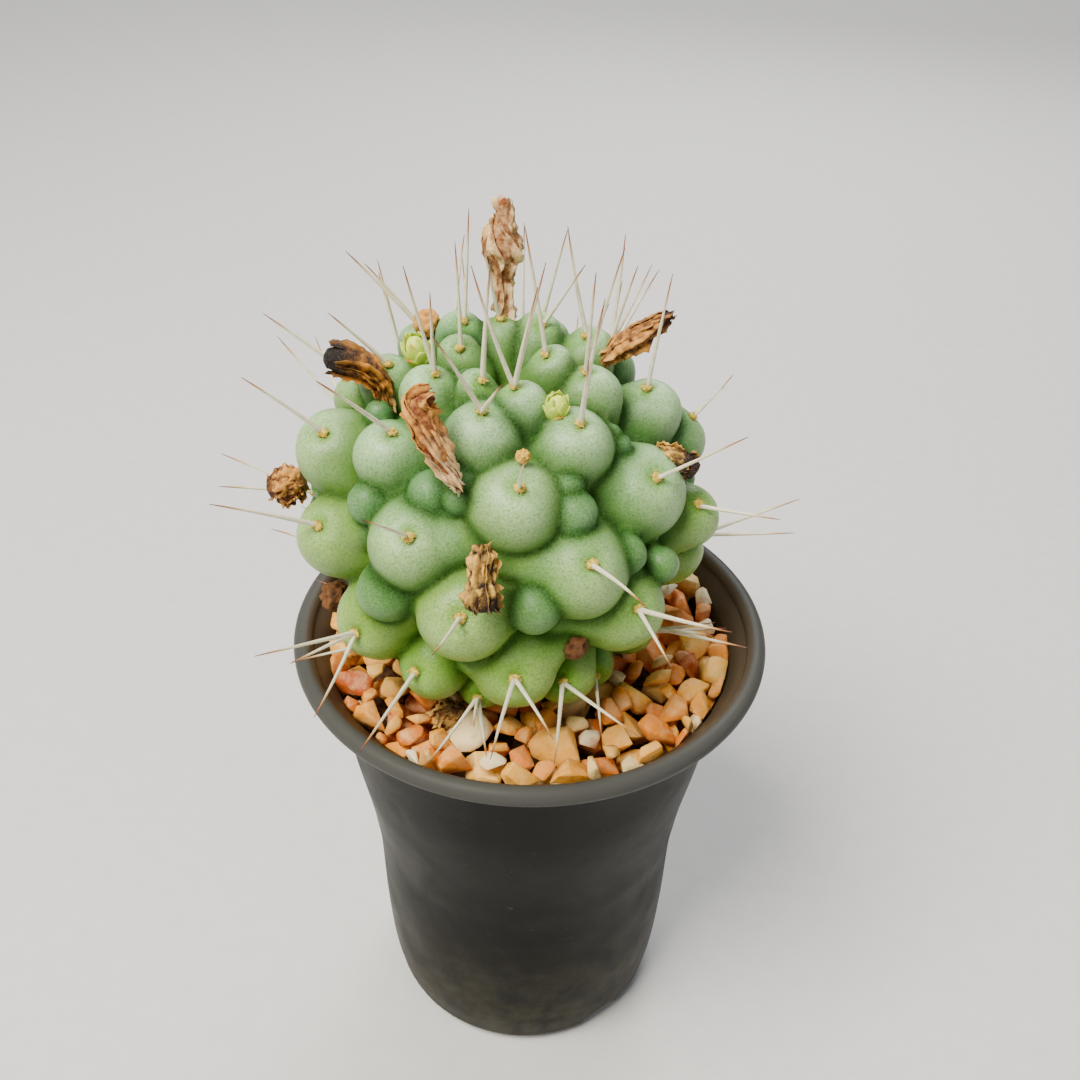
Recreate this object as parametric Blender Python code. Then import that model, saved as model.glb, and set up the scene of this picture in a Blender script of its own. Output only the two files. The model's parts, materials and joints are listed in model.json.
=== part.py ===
"""Potted round cactus: a turned nursery pot with soil, a gravel top dressing and a tubercled globe.

Sizes are in millimetres and angles in degrees; meshes are scaled to metres when they are made.
The origin is the middle of the pot's flat base, +Z is up and -Y is the front.
Azimuth is measured from the front towards +X, elevation upwards from the horizontal.
"""

import math
import random

import bmesh
import bpy
from mathutils import Matrix, Vector
from mathutils.bvhtree import BVHTree

METRES = 0.001
GAP = 0.35

# Pot
POT_HEIGHT = 73.0
RIM_RADIUS = 33.0
BEAD_RADIUS = 1.3
WALL = 0.9
FLOOR = 1.2
FOOT_RADIUS = 22.2
FOOT_CORNER = 2.5
POT_SIDE = ((23.4, 18.0), (23.6, 31.0), (24.8, 43.0), (26.4, 53.0), (27.4, 61.0), (29.2, 69.6))
POT_SEGMENTS = 40
NOTCH_RADIUS = 4.2
NOTCH_AZIMUTHS = (36, 156, 276)

# Filling
SOIL_TOP = 64.0
BED_TOP = 66.0
STONE_COUNT = 16
STONE_RING = 24.9
STONE_SIZE = 3.2

# Cactus globe
GLOBE_CENTRE = Vector((-3.2, 0.0, 89.7))
GLOBE_REACH = 27.2
CORE_RADIUS = 18.0
ROOT_DEPTH = 51.0
ROOT_PROFILE = ((3.0, ROOT_DEPTH), (5.5, 55.0), (8.5, 61.0), (11.5, 66.5), (12.5, 71.0), (15.0, 76.0))
ROOT_CLEARANCE = 0.9
DIVERGENCE = 137.25
FIRST_AZIMUTH = 140.0
FIRST_ELEVATION = 84.0
ELEVATION_STEP = 2.45
TUBERCLE_COUNT = 58
EGG_ROOT = 10.0
EGG_TAPER = 0.62
REMESH_SIZE = 1.25
REMESH_KEEP = 0.22

# Tubercles that stand off the spiral rule: azimuth, elevation, radius, reach from the globe's centre
SET_TUBERCLES = {
    0: (148, 75, 3.0, 28.0),
    1: (-95, 76, 2.5, 27.2),
    2: (68, 76, 2.6, 27.2),
    4: (-25, 71, 2.1, 27.2),
    5: (115, 64, 3.2, 28.2),
    6: (-129, 72, 3.1, 28.5),
    7: (12, 67, 3.1, 27.2),
    9: (-61, 64, 3.4, 27.2),
    10: (69, 63, 3.8, 27.2),
    11: (-125, 58, 3.2, 28.5),
    12: (-12, 58, 4.1, 27.2),
    14: (-96, 52, 3.5, 27.8),
    15: (36, 53, 4.5, 27.2),
    17: (-53, 43, 4.0, 27.2),
    18: (92, 43, 4.1, 28.1),
    19: (-105, 38, 3.9, 28.3),
    20: (5, 39, 5.1, 27.2),
    22: (-80, 30, 4.9, 29.7),
    23: (60, 31, 5.5, 27.2),
    25: (-30, 23, 5.3, 27.2),
    26: (100, 27, 4.2, 28.4),
    28: (26, 17, 5.6, 27.2),
    30: (-66, 9, 5.1, 28.0),
    31: (74, 14, 3.7, 28.2),
    33: (-11, 4, 5.5, 27.2),
    36: (41, -2, 5.1, 27.2),
    38: (-46, -13, 5.1, 27.2),
    41: (5, -18, 5.1, 27.2),
    43: (-96, -25, 4.2, 25.5),
    44: (63, -30, 4.0, 25.0),
    46: (-25, -26, 4.3, 26.4),
    49: (24, -29, 3.8, 26.2),
    51: (-58, -41, 3.0, 23.5),
    54: (-8, -36, 3.0, 25.3),
    57: (40, -37, 3.2, 25.0),
}
# Tubercles that close the spiral up where others lean away
FILL_TUBERCLES = ((-152, 50, 4.0, 27.3), (-137, 31, 4.2, 27.4))

# Spines of each modelled areole: azimuth, elevation, length
SPINES = {
    7: ((-64, 72, 14.0), (64, 77, 14.0)),
    9: ((-65, 77, 13.0), (0, 81, 10.5)),
    10: ((23, 84, 12.0), (78, 77, 14.5)),
    12: ((-46, 60, 12.5), (29, 49, 7.5)),
    15: ((27, 77, 15.5),),
    17: ((-53, 47, 12.0),),
    18: ((129, 80, 14.0),),
    20: ((7, 51, 9.5),),
    22: ((-73, 45, 11.5),),
    23: ((56, 42, 13.5),),
    25: ((-28, 42, 10.0),),
    28: ((22, 18, 13.0),),
    30: ((-59, 30, 13.5),),
    33: ((-12, 17, 10.0),),
    36: ((42, 22, 14.0), (15, 5, 11.0)),
    38: ((-44, 19, 14.0), (-12, -5, 13.0)),
    41: ((-8, 8, 14.5), (20, 13, 13.0)),
    46: ((-18, 4, 14.5),),
    49: ((35, 13, 14.0), (-4, 1, 12.5)),
    16: ((180, 62, 13.0),),
    21: ((128, 52, 13.0), (168, 40, 11.0)),
    24: ((-165, 55, 13.0),),
    27: ((-116, 40, 13.0), (-150, 30, 12.0)),
    29: ((150, 38, 13.0), (176, 25, 12.0)),
    34: ((128, 24, 13.0),),
    35: ((-100, 18, 13.0), (-75, 12, 12.0)),
    39: ((96, 22, 13.5), (80, 10, 12.0)),
    42: ((170, 18, 12.0), (-160, 10, 12.0)),
}
PAD_RADIUS = 0.95
SPINE_RADIUS = 0.38

# Dried flowers: points of the middle line with the radius at each
FLOWERS = {
    "dried_flower_crown": (
        (-4.0, 8.5, 115.6, 1.2),
        (-4.0, 9.0, 118.6, 0.8),
        (-4.1, 10.0, 121.5, 1.9),
        (-4.2, 10.3, 123.5, 2.5),
        (-4.2, 10.5, 126.0, 1.5),
        (-4.2, 10.7, 129.0, 0.6),
    ),
    "dried_flower_right": (
        (8.6, 2.5, 112.8, 0.8),
        (11.5, 3.0, 115.0, 1.8),
        (14.0, 3.5, 116.8, 1.7),
        (16.4, 4.5, 118.2, 0.7),
    ),
    "dried_flower_left": (
        (-17.6, -2.0, 108.4, 0.6),
        (-18.4, -2.0, 110.9, 1.3),
        (-20.1, -1.5, 113.2, 1.9),
        (-22.6, -1.5, 113.6, 2.0),
        (-25.8, -2.0, 113.2, 1.2),
    ),
    "dried_flower_front": (
        (-7.7, -20.0, 108.0, 0.5),
        (-9.6, -19.6, 110.9, 1.3),
        (-11.3, -18.4, 113.8, 1.6),
        (-12.8, -15.9, 116.2, 1.3),
        (-11.4, -14.9, 117.0, 0.6),
    ),
    "dried_flower_belly": (
        (-4.9, -24.2, 102.6, 1.2),
        (-4.9, -26.0, 101.2, 1.9),
        (-4.8, -28.0, 99.5, 2.1),
        (-4.7, -29.6, 97.8, 1.6),
    ),
    "dried_flower_side": (
        (15.6, -6.6, 106.0, 0.8),
        (17.6, -7.2, 105.2, 1.8),
        (20.0, -8.2, 104.2, 1.4),
    ),
    "dried_fruit_left": (
        (-29.6, -2.5, 96.2, 1.3),
        (-31.2, -2.5, 96.0, 2.6),
        (-33.2, -2.5, 95.8, 1.5),
    ),
    "fallen_fruit": (
        (-10.0, -17.2, 66.8, 1.2),
        (-10.0, -17.2, 68.7, 2.4),
        (-10.0, -17.2, 70.6, 1.3),
    ),
}
FLOWER_SIDES = 8

# Flower buds: place and half sizes
BUDS = {
    "flower_bud_left": (Vector((-14.4, 1.0, 115.4)), (1.5, 1.5, 1.9)),
    "flower_bud_front": (Vector((2.9, -11.3, 114.6)), (1.3, 1.3, 1.7)),
}

# Colour, roughness
FINISHES = {
    "pot_plastic": ((0.030, 0.032, 0.034), 0.45),
    "soil": ((0.060, 0.035, 0.020), 0.95),
    "gravel": ((0.72, 0.42, 0.22), 0.80),
    "cactus_skin": ((0.26, 0.42, 0.20), 0.60),
    "spine": ((0.72, 0.62, 0.45), 0.55),
    "dried_flower": ((0.32, 0.17, 0.08), 0.90),
    "bud": ((0.55, 0.68, 0.20), 0.60),
}


def clear_scene():
    for old in list(bpy.data.objects):
        bpy.data.objects.remove(old)


def material(name):
    found = bpy.data.materials.get(name)
    if found:
        return found
    colour, roughness = FINISHES[name]
    made = bpy.data.materials.new(name)
    made.use_nodes = True
    shader = made.node_tree.nodes["Principled BSDF"]
    shader.inputs["Base Color"].default_value = (*colour, 1.0)
    shader.inputs["Roughness"].default_value = roughness
    shader.inputs["Metallic"].default_value = 0.0
    return made


def direction(azimuth, elevation):
    across = math.radians(azimuth)
    up = math.radians(elevation)
    flat = math.cos(up)
    return Vector((math.sin(across) * flat, -math.cos(across) * flat, math.sin(up)))


def finished(name, shape, finish, smooth=True):
    """Turns a bmesh in millimetres into a scene object in metres."""
    bmesh.ops.scale(shape, vec=(METRES, METRES, METRES), verts=shape.verts)
    bmesh.ops.recalc_face_normals(shape, faces=shape.faces)
    mesh = bpy.data.meshes.new(name)
    shape.to_mesh(mesh)
    shape.free()
    if smooth:
        mesh.shade_smooth()
        mesh.set_sharp_from_angle(angle=math.radians(40))
    made = bpy.data.objects.new(name, mesh)
    made.data.materials.append(material(finish))
    bpy.context.scene.collection.objects.link(made)
    return made


def as_cutter(helper):
    helper.hide_render = True
    helper.display_type = "WIRE"
    return helper


def cut(target, cutter):
    modifier = target.modifiers.new("cut_" + cutter.name, "BOOLEAN")
    modifier.operation = "DIFFERENCE"
    modifier.solver = "EXACT"
    modifier.object = cutter


def turned(profile, segments, centre=(0.0, 0.0)):
    """A closed turned solid from (radius, height) points; it starts and ends on the axis."""
    shape = bmesh.new()
    rings = []
    for radius, height in profile:
        if radius == 0.0:
            rings.append([shape.verts.new((centre[0], centre[1], height))])
            continue
        ring = []
        for step in range(segments):
            angle = 2 * math.pi * step / segments
            across = centre[0] + radius * math.cos(angle)
            deep = centre[1] + radius * math.sin(angle)
            ring.append(shape.verts.new((across, deep, height)))
        rings.append(ring)
    for low, high in zip(rings, rings[1:]):
        for step in range(segments):
            after = (step + 1) % segments
            if len(low) == 1:
                shape.faces.new((low[0], high[step], high[after]))
            elif len(high) == 1:
                shape.faces.new((low[step], low[after], high[0]))
            else:
                shape.faces.new((low[step], low[after], high[after], high[step]))
    return shape


def arc(centre, radius, start, end, steps):
    points = []
    for step in range(steps + 1):
        angle = math.radians(start + (end - start) * step / steps)
        points.append((centre[0] + radius * math.cos(angle), centre[1] + radius * math.sin(angle)))
    return points


def wall_inside(point):
    return (point[0] - WALL, point[1])


def build_pot():
    corner = arc((FOOT_RADIUS - FOOT_CORNER, FOOT_CORNER), FOOT_CORNER, -90, 0, 4)
    bead = arc((RIM_RADIUS - BEAD_RADIUS, POT_HEIGHT - BEAD_RADIUS), BEAD_RADIUS, -90, 180, 9)
    inner_corner = arc((FOOT_RADIUS - FOOT_CORNER, FOOT_CORNER + WALL), FOOT_CORNER - WALL, 0, -90, 3)
    inner_side = [wall_inside(point) for point in reversed(POT_SIDE)]
    floor_edge = (inner_corner[-1][0], FLOOR)
    profile = [(0.0, 0.0)] + corner + list(POT_SIDE) + bead + inner_side
    profile += inner_corner[:-1] + [floor_edge, (0.0, FLOOR)]
    pot = finished("pot", turned(profile, POT_SEGMENTS), "pot_plastic")
    for index, azimuth in enumerate(NOTCH_AZIMUTHS):
        notch = bmesh.new()
        outward = direction(azimuth, 0)
        turn = outward.to_track_quat("Z", "Y").to_matrix().to_4x4()
        place = Matrix.Translation(outward * FOOT_RADIUS) @ turn
        bmesh.ops.create_cone(
            notch,
            cap_ends=True,
            segments=16,
            radius1=NOTCH_RADIUS,
            radius2=NOTCH_RADIUS,
            depth=9.0,
            matrix=place,
        )
        cut(pot, as_cutter(finished(f"notch_cutter_{index}", notch, "pot_plastic")))


def root_profile(clearance):
    """The root and neck, swelled by the clearance, from the axis up to where the globe closes it."""
    side = [(radius + clearance, height) for radius, height in ROOT_PROFILE]
    low = ROOT_DEPTH - clearance - 1.5
    top = ROOT_PROFILE[-1][1] + clearance
    return [(0.0, low)] + side + [(0.0, top)]


def build_filling():
    """Soil and the gravel bed, both with a socket for the cactus's root."""
    fit = WALL + GAP
    soil_side = [(radius - fit, height) for radius, height in POT_SIDE[:5]]
    soil_top_radius = POT_SIDE[4][0] - fit + 0.6
    foot = FOOT_RADIUS - FOOT_CORNER
    soil_profile = [(0.0, FLOOR + GAP), (foot - 0.3, FLOOR + GAP), (FOOT_RADIUS - fit, FOOT_CORNER + 1.5)]
    soil_profile += soil_side + [(soil_top_radius, SOIL_TOP), (0.0, SOIL_TOP)]
    soil = finished("soil_mix", turned(soil_profile, POT_SEGMENTS), "soil")
    bed_low = SOIL_TOP + GAP
    bed_profile = [
        (0.0, bed_low),
        (soil_top_radius, bed_low),
        (soil_top_radius + 0.4, BED_TOP - 0.8),
        (soil_top_radius - 0.2, BED_TOP),
        (0.0, BED_TOP),
    ]
    bed = finished("gravel_bed", turned(bed_profile, POT_SEGMENTS), "gravel")
    middle = (GLOBE_CENTRE.x, GLOBE_CENTRE.y)
    socket_shape = turned(root_profile(ROOT_CLEARANCE), 24, middle)
    socket = as_cutter(finished("root_socket", socket_shape, "soil"))
    cut(soil, socket)
    cut(bed, socket)


def build_stones():
    """Single stones of the top dressing, each the convex hull of a few points on a squashed ball."""
    random.seed(7)
    for index in range(STONE_COUNT):
        shape = bmesh.new()
        squash = Vector((random.uniform(0.85, 1.0), random.uniform(0.75, 1.0), random.uniform(0.6, 0.8)))
        for _ in range(13):
            outward = Vector((random.gauss(0, 1), random.gauss(0, 1), random.gauss(0, 1))).normalized()
            shape.verts.new(outward * squash * STONE_SIZE)
        hull = bmesh.ops.convex_hull(shape, input=shape.verts)
        inside = [part for part in hull["geom_interior"] if isinstance(part, bmesh.types.BMVert)]
        bmesh.ops.delete(shape, geom=inside, context="VERTS")
        azimuth = 360 * index / STONE_COUNT
        bmesh.ops.rotate(shape, verts=shape.verts, matrix=Matrix.Rotation(random.uniform(0, 6), 3, "Z"))
        lowest = min(vert.co.z for vert in shape.verts)
        place = direction(azimuth, 0) * STONE_RING + Vector((0, 0, BED_TOP + GAP - lowest))
        bmesh.ops.translate(shape, verts=shape.verts, vec=place)
        finished(f"stone_{index + 1:02d}", shape, "gravel", smooth=False)


def ruled_tubercle(index):
    """Azimuth, elevation, radius and reach of a tubercle that follows the spiral."""
    azimuth = FIRST_AZIMUTH + DIVERGENCE * index
    elevation = FIRST_ELEVATION - ELEVATION_STEP * index
    radius = 2.4 + 2.9 * math.sin(math.pi * (index + 2) / 62)
    return azimuth, elevation, radius, GLOBE_REACH - max(0.0, -15.0 - elevation) * 0.05


def tubercles():
    spiral = [SET_TUBERCLES.get(index) or ruled_tubercle(index) for index in range(TUBERCLE_COUNT)]
    return spiral + list(FILL_TUBERCLES)


def tip_direction(azimuth, elevation):
    """Tubercles lift their tips: strongly low on the globe, hardly at the crown."""
    return direction(azimuth, min(30 + 0.72 * elevation, 88))


def add_egg(shape, azimuth, elevation, radius, reach):
    """One tubercle: a ball at the outside, tapering in towards the globe's centre."""
    outward = direction(azimuth, elevation)
    made = bmesh.ops.create_icosphere(shape, subdivisions=3, radius=radius)["verts"]
    distance = reach - radius
    for vert in made:
        if vert.co.z < 0:
            depth = -vert.co.z / radius
            vert.co.x *= 1 - (1 - EGG_TAPER) * depth
            vert.co.y *= 1 - (1 - EGG_TAPER) * depth
            vert.co.z = -depth * (distance - EGG_ROOT)
    turn = outward.to_track_quat("Z", "Y").to_matrix().to_4x4()
    place = Matrix.Translation(GLOBE_CENTRE + outward * distance) @ turn
    bmesh.ops.transform(shape, matrix=place, verts=made)


def append(shape, other):
    """Adds another bmesh's faces to this one."""
    copies = {vert: shape.verts.new(vert.co) for vert in other.verts}
    for face in other.faces:
        shape.faces.new([copies[vert] for vert in face.verts])
    other.free()


def build_cactus():
    shape = bmesh.new()
    core = Matrix.Translation(GLOBE_CENTRE)
    bmesh.ops.create_icosphere(shape, subdivisions=3, radius=CORE_RADIUS, matrix=core)
    append(shape, turned(root_profile(0.0), 24, (GLOBE_CENTRE.x, GLOBE_CENTRE.y)))
    for tubercle in tubercles():
        add_egg(shape, *tubercle)
    cactus = finished("cactus_body", shape, "cactus_skin")
    remesh = cactus.modifiers.new("grow_together", "REMESH")
    remesh.mode = "VOXEL"
    remesh.voxel_size = REMESH_SIZE * METRES
    remesh.use_smooth_shade = True
    decimate = cactus.modifiers.new("fewer_faces", "DECIMATE")
    decimate.ratio = REMESH_KEEP
    return cactus


def surface_of(made):
    """A search tree of an object's evaluated surface, in millimetres."""
    bpy.context.view_layer.update()
    evaluated = made.evaluated_get(bpy.context.evaluated_depsgraph_get())
    mesh = evaluated.to_mesh()
    points = [vert.co / METRES for vert in mesh.vertices]
    faces = [tuple(face.vertices) for face in mesh.polygons]
    evaluated.to_mesh_clear()
    return BVHTree.FromPolygons(points, faces)


def stand_clear(shape, outward, surface):
    """Moves a shape outwards until all of it is the gap away from the surface."""
    for _ in range(60):
        shape.normal_update()
        touching = surface.overlap(BVHTree.FromBMesh(shape))
        nearest = min(surface.find_nearest(vert.co)[3] for vert in shape.verts)
        if not touching and nearest >= GAP:
            return
        bmesh.ops.translate(shape, verts=shape.verts, vec=outward * 0.15)


def spine_roots(shape, ways):
    """The pad's face that looks each way, far enough from the others for the spines not to touch."""
    roots = []
    for along in ways:
        taken = [root.calc_center_median() for root in roots]
        free = [
            face
            for face in shape.faces
            if all((face.calc_center_median() - other).length > 2.2 * SPINE_RADIUS for other in taken)
        ]
        roots.append(max(free, key=lambda face: face.normal.dot(along)))
    return roots


def add_spine(shape, root, along, length):
    """Draws a spine out of one face, bent a little upwards."""
    start = root.calc_center_median()
    bend = Vector((0, 0, 0.04 * length))
    for portion, radius in ((0.04, SPINE_RADIUS), (0.55, 0.7 * SPINE_RADIUS), (1.0, 0.25 * SPINE_RADIUS)):
        root = bmesh.ops.extrude_discrete_faces(shape, faces=[root])["faces"][0]
        goal = start + along * length * portion - bend * portion * (1 - portion) * 4
        centre = root.calc_center_median()
        size = max((vert.co - centre).length for vert in root.verts)
        for vert in root.verts:
            vert.co = goal + (vert.co - centre) * (radius / size)


def build_areoles(surface):
    """Wool pads on the tubercles' tips, each with its spines, as one closed piece."""
    layout = tubercles()
    for number, (index, spines) in enumerate(sorted(SPINES.items()), start=1):
        azimuth, elevation, radius, reach = layout[index]
        outward = tip_direction(azimuth, elevation)
        ball = GLOBE_CENTRE + direction(azimuth, elevation) * (reach - radius)
        found = surface.ray_cast(ball + outward * (radius + 6), -outward)[0] or ball + outward * radius
        shape = bmesh.new()
        middle = found + outward * PAD_RADIUS
        bmesh.ops.create_icosphere(shape, subdivisions=1, radius=PAD_RADIUS, matrix=Matrix.Translation(middle))
        shape.normal_update()
        ways = [direction(spine_azimuth, spine_elevation) for spine_azimuth, spine_elevation, _ in spines]
        for root, along, spine in zip(spine_roots(shape, ways), ways, spines):
            add_spine(shape, root, along, spine[2])
        stand_clear(shape, outward, surface)
        finished(f"areole_{number:02d}", shape, "spine", smooth=False)


def swept(points, sides, wrinkle):
    """A closed crumpled tube along points that each carry a radius."""
    shape = bmesh.new()
    line = [Vector(point[:3]) for point in points]
    rings = []
    for index, point in enumerate(points):
        before = line[max(index - 1, 0)]
        after = line[min(index + 1, len(line) - 1)]
        turn = (after - before).to_track_quat("Z", "Y").to_matrix()
        ring = []
        for step in range(sides):
            angle = 2 * math.pi * step / sides
            radius = point[3] * random.uniform(1 - wrinkle, 1 + wrinkle)
            spoke = Vector((radius * math.cos(angle), radius * math.sin(angle), 0))
            ring.append(shape.verts.new(line[index] + turn @ spoke))
        rings.append(ring)
    for low, high in zip(rings, rings[1:]):
        for step in range(sides):
            after = (step + 1) % sides
            shape.faces.new((low[step], low[after], high[after], high[step]))
    for ring in (rings[0], rings[-1]):
        middle = sum((vert.co for vert in ring), Vector()) / sides
        cap = shape.verts.new(middle)
        for step in range(sides):
            shape.faces.new((ring[step], ring[(step + 1) % sides], cap))
    return shape


def build_flowers(surface):
    random.seed(11)
    for name, points in FLOWERS.items():
        shape = swept(points, FLOWER_SIDES, 0.12)
        bmesh.ops.recalc_face_normals(shape, faces=shape.faces)
        outward = (Vector(points[0][:3]) - GLOBE_CENTRE).normalized()
        if name != "fallen_fruit":
            stand_clear(shape, outward, surface)
        finished(name, shape, "dried_flower")


def build_buds(surface):
    for name, (place, half) in BUDS.items():
        shape = bmesh.new()
        outward = (place - GLOBE_CENTRE).normalized()
        turn = outward.to_track_quat("Z", "Y").to_matrix().to_4x4()
        where = Matrix.Translation(place) @ turn @ Matrix.Diagonal((*half, 1))
        bmesh.ops.create_icosphere(shape, subdivisions=2, radius=1.0, matrix=where)
        stand_clear(shape, outward, surface)
        finished(name, shape, "bud")


def main():
    clear_scene()
    build_pot()
    build_filling()
    build_stones()
    surface = surface_of(build_cactus())
    build_areoles(surface)
    build_flowers(surface)
    build_buds(surface)


main()
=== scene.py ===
import json
import math
import random

import bmesh
import bpy
import numpy as np
from mathutils import Matrix, Vector, noise
from mathutils.bvhtree import BVHTree

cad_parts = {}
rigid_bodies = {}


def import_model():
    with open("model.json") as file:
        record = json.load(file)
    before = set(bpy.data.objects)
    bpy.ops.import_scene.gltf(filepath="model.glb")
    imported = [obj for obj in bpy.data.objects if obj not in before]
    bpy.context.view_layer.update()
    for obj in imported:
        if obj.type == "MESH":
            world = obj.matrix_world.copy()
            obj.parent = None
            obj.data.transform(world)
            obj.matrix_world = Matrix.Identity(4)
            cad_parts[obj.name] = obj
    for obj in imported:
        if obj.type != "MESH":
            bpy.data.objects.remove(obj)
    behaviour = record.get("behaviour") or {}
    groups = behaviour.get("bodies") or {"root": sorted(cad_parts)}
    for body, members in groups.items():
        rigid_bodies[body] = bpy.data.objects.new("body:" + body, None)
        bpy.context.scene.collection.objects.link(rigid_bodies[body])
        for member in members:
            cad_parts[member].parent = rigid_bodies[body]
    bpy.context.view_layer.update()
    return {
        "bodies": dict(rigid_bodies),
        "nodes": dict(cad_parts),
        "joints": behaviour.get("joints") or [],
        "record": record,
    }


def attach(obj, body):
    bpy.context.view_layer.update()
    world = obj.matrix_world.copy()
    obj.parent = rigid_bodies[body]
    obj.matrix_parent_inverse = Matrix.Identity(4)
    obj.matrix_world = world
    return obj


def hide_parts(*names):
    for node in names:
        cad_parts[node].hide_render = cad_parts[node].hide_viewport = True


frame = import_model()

mm = 0.001  # lengths below are in millimetres and become metres when a mesh is made


def srgb(code):
    channels = [int(code[i:i + 2], 16) / 255 for i in (1, 3, 5)]
    linear = [c / 12.92 if c <= 0.04045 else ((c + 0.055) / 1.055) ** 2.4 for c in channels]
    return (*linear, 1.0)


# Adds a node with its settings and links. A node given as an input sends its first live output.
def addNode(tree, kind, inputs=None, into=None, **settings):
    node = tree.nodes.new(kind)
    for key, value in settings.items():
        setattr(node, key, value)
    for key, value in (inputs or {}).items():
        if isinstance(value, bpy.types.Node):
            value = next(socket for socket in value.outputs if socket.enabled)
        if isinstance(value, bpy.types.NodeSocket):
            tree.links.new(value, node.inputs[key])
        else:
            node.inputs[key].default_value = value
    if into is not None:
        tree.links.new(next(socket for socket in node.outputs if socket.enabled), into)
    return node


# A material with its shader and the object's own coordinates; nothing on this plant is metal.
def newMaterial(name, roughness, ior):
    made = bpy.data.materials.new(name)
    made.use_nodes = True
    tree = made.node_tree
    shader = tree.nodes["Principled BSDF"]
    shader.inputs["Roughness"].default_value = roughness
    shader.inputs["IOR"].default_value = ior
    shader.inputs["Metallic"].default_value = 0.0
    where = addNode(tree, "ShaderNodeTexCoord").outputs["Object"]
    return made, tree, shader, where


# Lays colours over one another. Each layer gives its mask, the mask values from none to full,
# the least and the most of it that shows, and its colour.
def layered(tree, colour, *layers):
    for mask, (none, full), (least, most), tint in layers:
        share = addNode(tree, "ShaderNodeMapRange", {0: mask, 1: none, 2: full, 3: least, 4: most})
        colour = addNode(tree, "ShaderNodeMix", {0: share, 6: colour, 7: tint}, data_type="RGBA")
    return colour.outputs[2]


def setStops(ramp, stops):
    bar = ramp.color_ramp.elements
    for position, _ in stops[1:-1]:
        bar.new(position)
    for element, (position, code) in zip(bar, stops):
        element.position = position
        element.color = srgb(code)


def direction(azimuth, elevation):
    across, up = math.radians(azimuth), math.radians(elevation)
    flat = math.cos(up)
    return Vector((math.sin(across) * flat, -math.cos(across) * flat, math.sin(up)))


def linked(obj):
    bpy.context.scene.collection.objects.link(obj)
    return obj


def fromBmesh(name, shape, material=None):
    bmesh.ops.scale(shape, vec=(mm, mm, mm), verts=shape.verts)
    mesh = bpy.data.meshes.new(name)
    shape.to_mesh(mesh)
    shape.free()
    mesh.shade_smooth()
    if material:
        mesh.materials.append(material)
    return linked(bpy.data.objects.new(name, mesh))


# The source with its modifiers worked into a plain mesh of its own; the source goes.
def baked(name, source, material=None):
    bpy.context.view_layer.update()
    graph = bpy.context.evaluated_depsgraph_get()
    mesh = bpy.data.meshes.new_from_object(source.evaluated_get(graph))
    bpy.data.objects.remove(source)
    mesh.name = name
    if material:
        mesh.materials.clear()
        mesh.materials.append(material)
    return linked(bpy.data.objects.new(name, mesh))


def meshPoints(mesh):
    points = np.empty(len(mesh.vertices) * 3, np.float32)
    mesh.vertices.foreach_get("co", points)
    return points.reshape(-1, 3).astype(float) / mm


# Four numbers for each point, which a material reads by the attribute's name.
def storeColour(mesh, name, values):
    layer = mesh.attributes.new(name, "FLOAT_COLOR", "POINT")
    layer.data.foreach_set("color", np.asarray(values, np.float32).ravel())


globe = {
    "centre": Vector((-3.2, 0.0, 89.7)),
    "reach": 27.2,  # from the centre to a tubercle's tip
    "core": 19.4,
    # tubercles follow one spiral from the crown down: turn and drop from each to the next
    "tubercles": 58,
    "divergence": 137.25,
    "firstAzimuth": 140.0,
    "firstElevation": 84.0,
    "elevationStep": 2.45,
    "youngRadius": 2.4,  # at the crown and at the neck
    "grownRadius": 2.9,  # what the widest ones have more
    "tuckBelow": -15.0,  # lower than this they draw in towards the neck
    "tuck": 0.05,
    "plumpness": 1.09,
    # each tubercle widens inward by the spread over the depth
    "skirtDepth": 3.4,
    "skirtSpread": 1.15,
    "skirtSteps": 4,
    "creaseDepth": 0.35,
    "creaseWidth": 0.4,
    "pitDepth": 0.75,
    "pitRadius": 1.45,
    "haloRadius": 1.9,
    "voxel": 0.45,
}
# off the spiral rule: azimuth, elevation, radius, reach from the globe's centre
setTubercles = {
    0: (148, 75, 3.0, 28.0), 1: (-95, 76, 2.5, 27.2), 2: (68, 76, 2.6, 27.2), 4: (-25, 71, 2.1, 27.2),
    5: (115, 64, 3.2, 28.2), 6: (-129, 72, 3.1, 28.5), 7: (12, 67, 3.1, 27.2), 9: (-61, 64, 3.4, 27.2),
    10: (69, 63, 3.8, 27.2), 11: (-125, 58, 3.2, 28.5), 12: (-12, 58, 4.5, 27.2), 14: (-96, 52, 3.5, 27.8),
    15: (36, 53, 4.5, 27.2), 17: (-53, 43, 4.25, 27.2), 18: (92, 43, 4.1, 28.1), 19: (-105, 38, 3.9, 28.3),
    20: (5, 39, 5.3, 27.2), 22: (-80, 30, 4.9, 29.7), 23: (60, 31, 5.5, 27.2), 25: (-30, 23, 5.3, 27.2),
    26: (100, 27, 4.2, 28.4), 28: (26, 17, 5.6, 27.2), 30: (-66, 9, 5.1, 28.0), 31: (74, 14, 3.7, 28.2),
    33: (-11, 4, 5.5, 27.2), 36: (41, -2, 5.1, 27.2), 38: (-46, -13, 5.1, 27.2), 41: (5, -18, 5.1, 27.2),
    43: (-96, -25, 4.2, 25.5), 44: (63, -30, 4.0, 25.0), 46: (-25, -26, 4.3, 26.4), 49: (24, -29, 3.8, 26.2),
    51: (-58, -41, 3.0, 23.5), 54: (-8, -36, 3.0, 25.3), 57: (40, -37, 3.2, 25.0),
}
# two more where the far side would be bare
fillTubercles = [(-152, 50, 4.0, 27.3), (-137, 31, 4.2, 27.4)]
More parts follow.
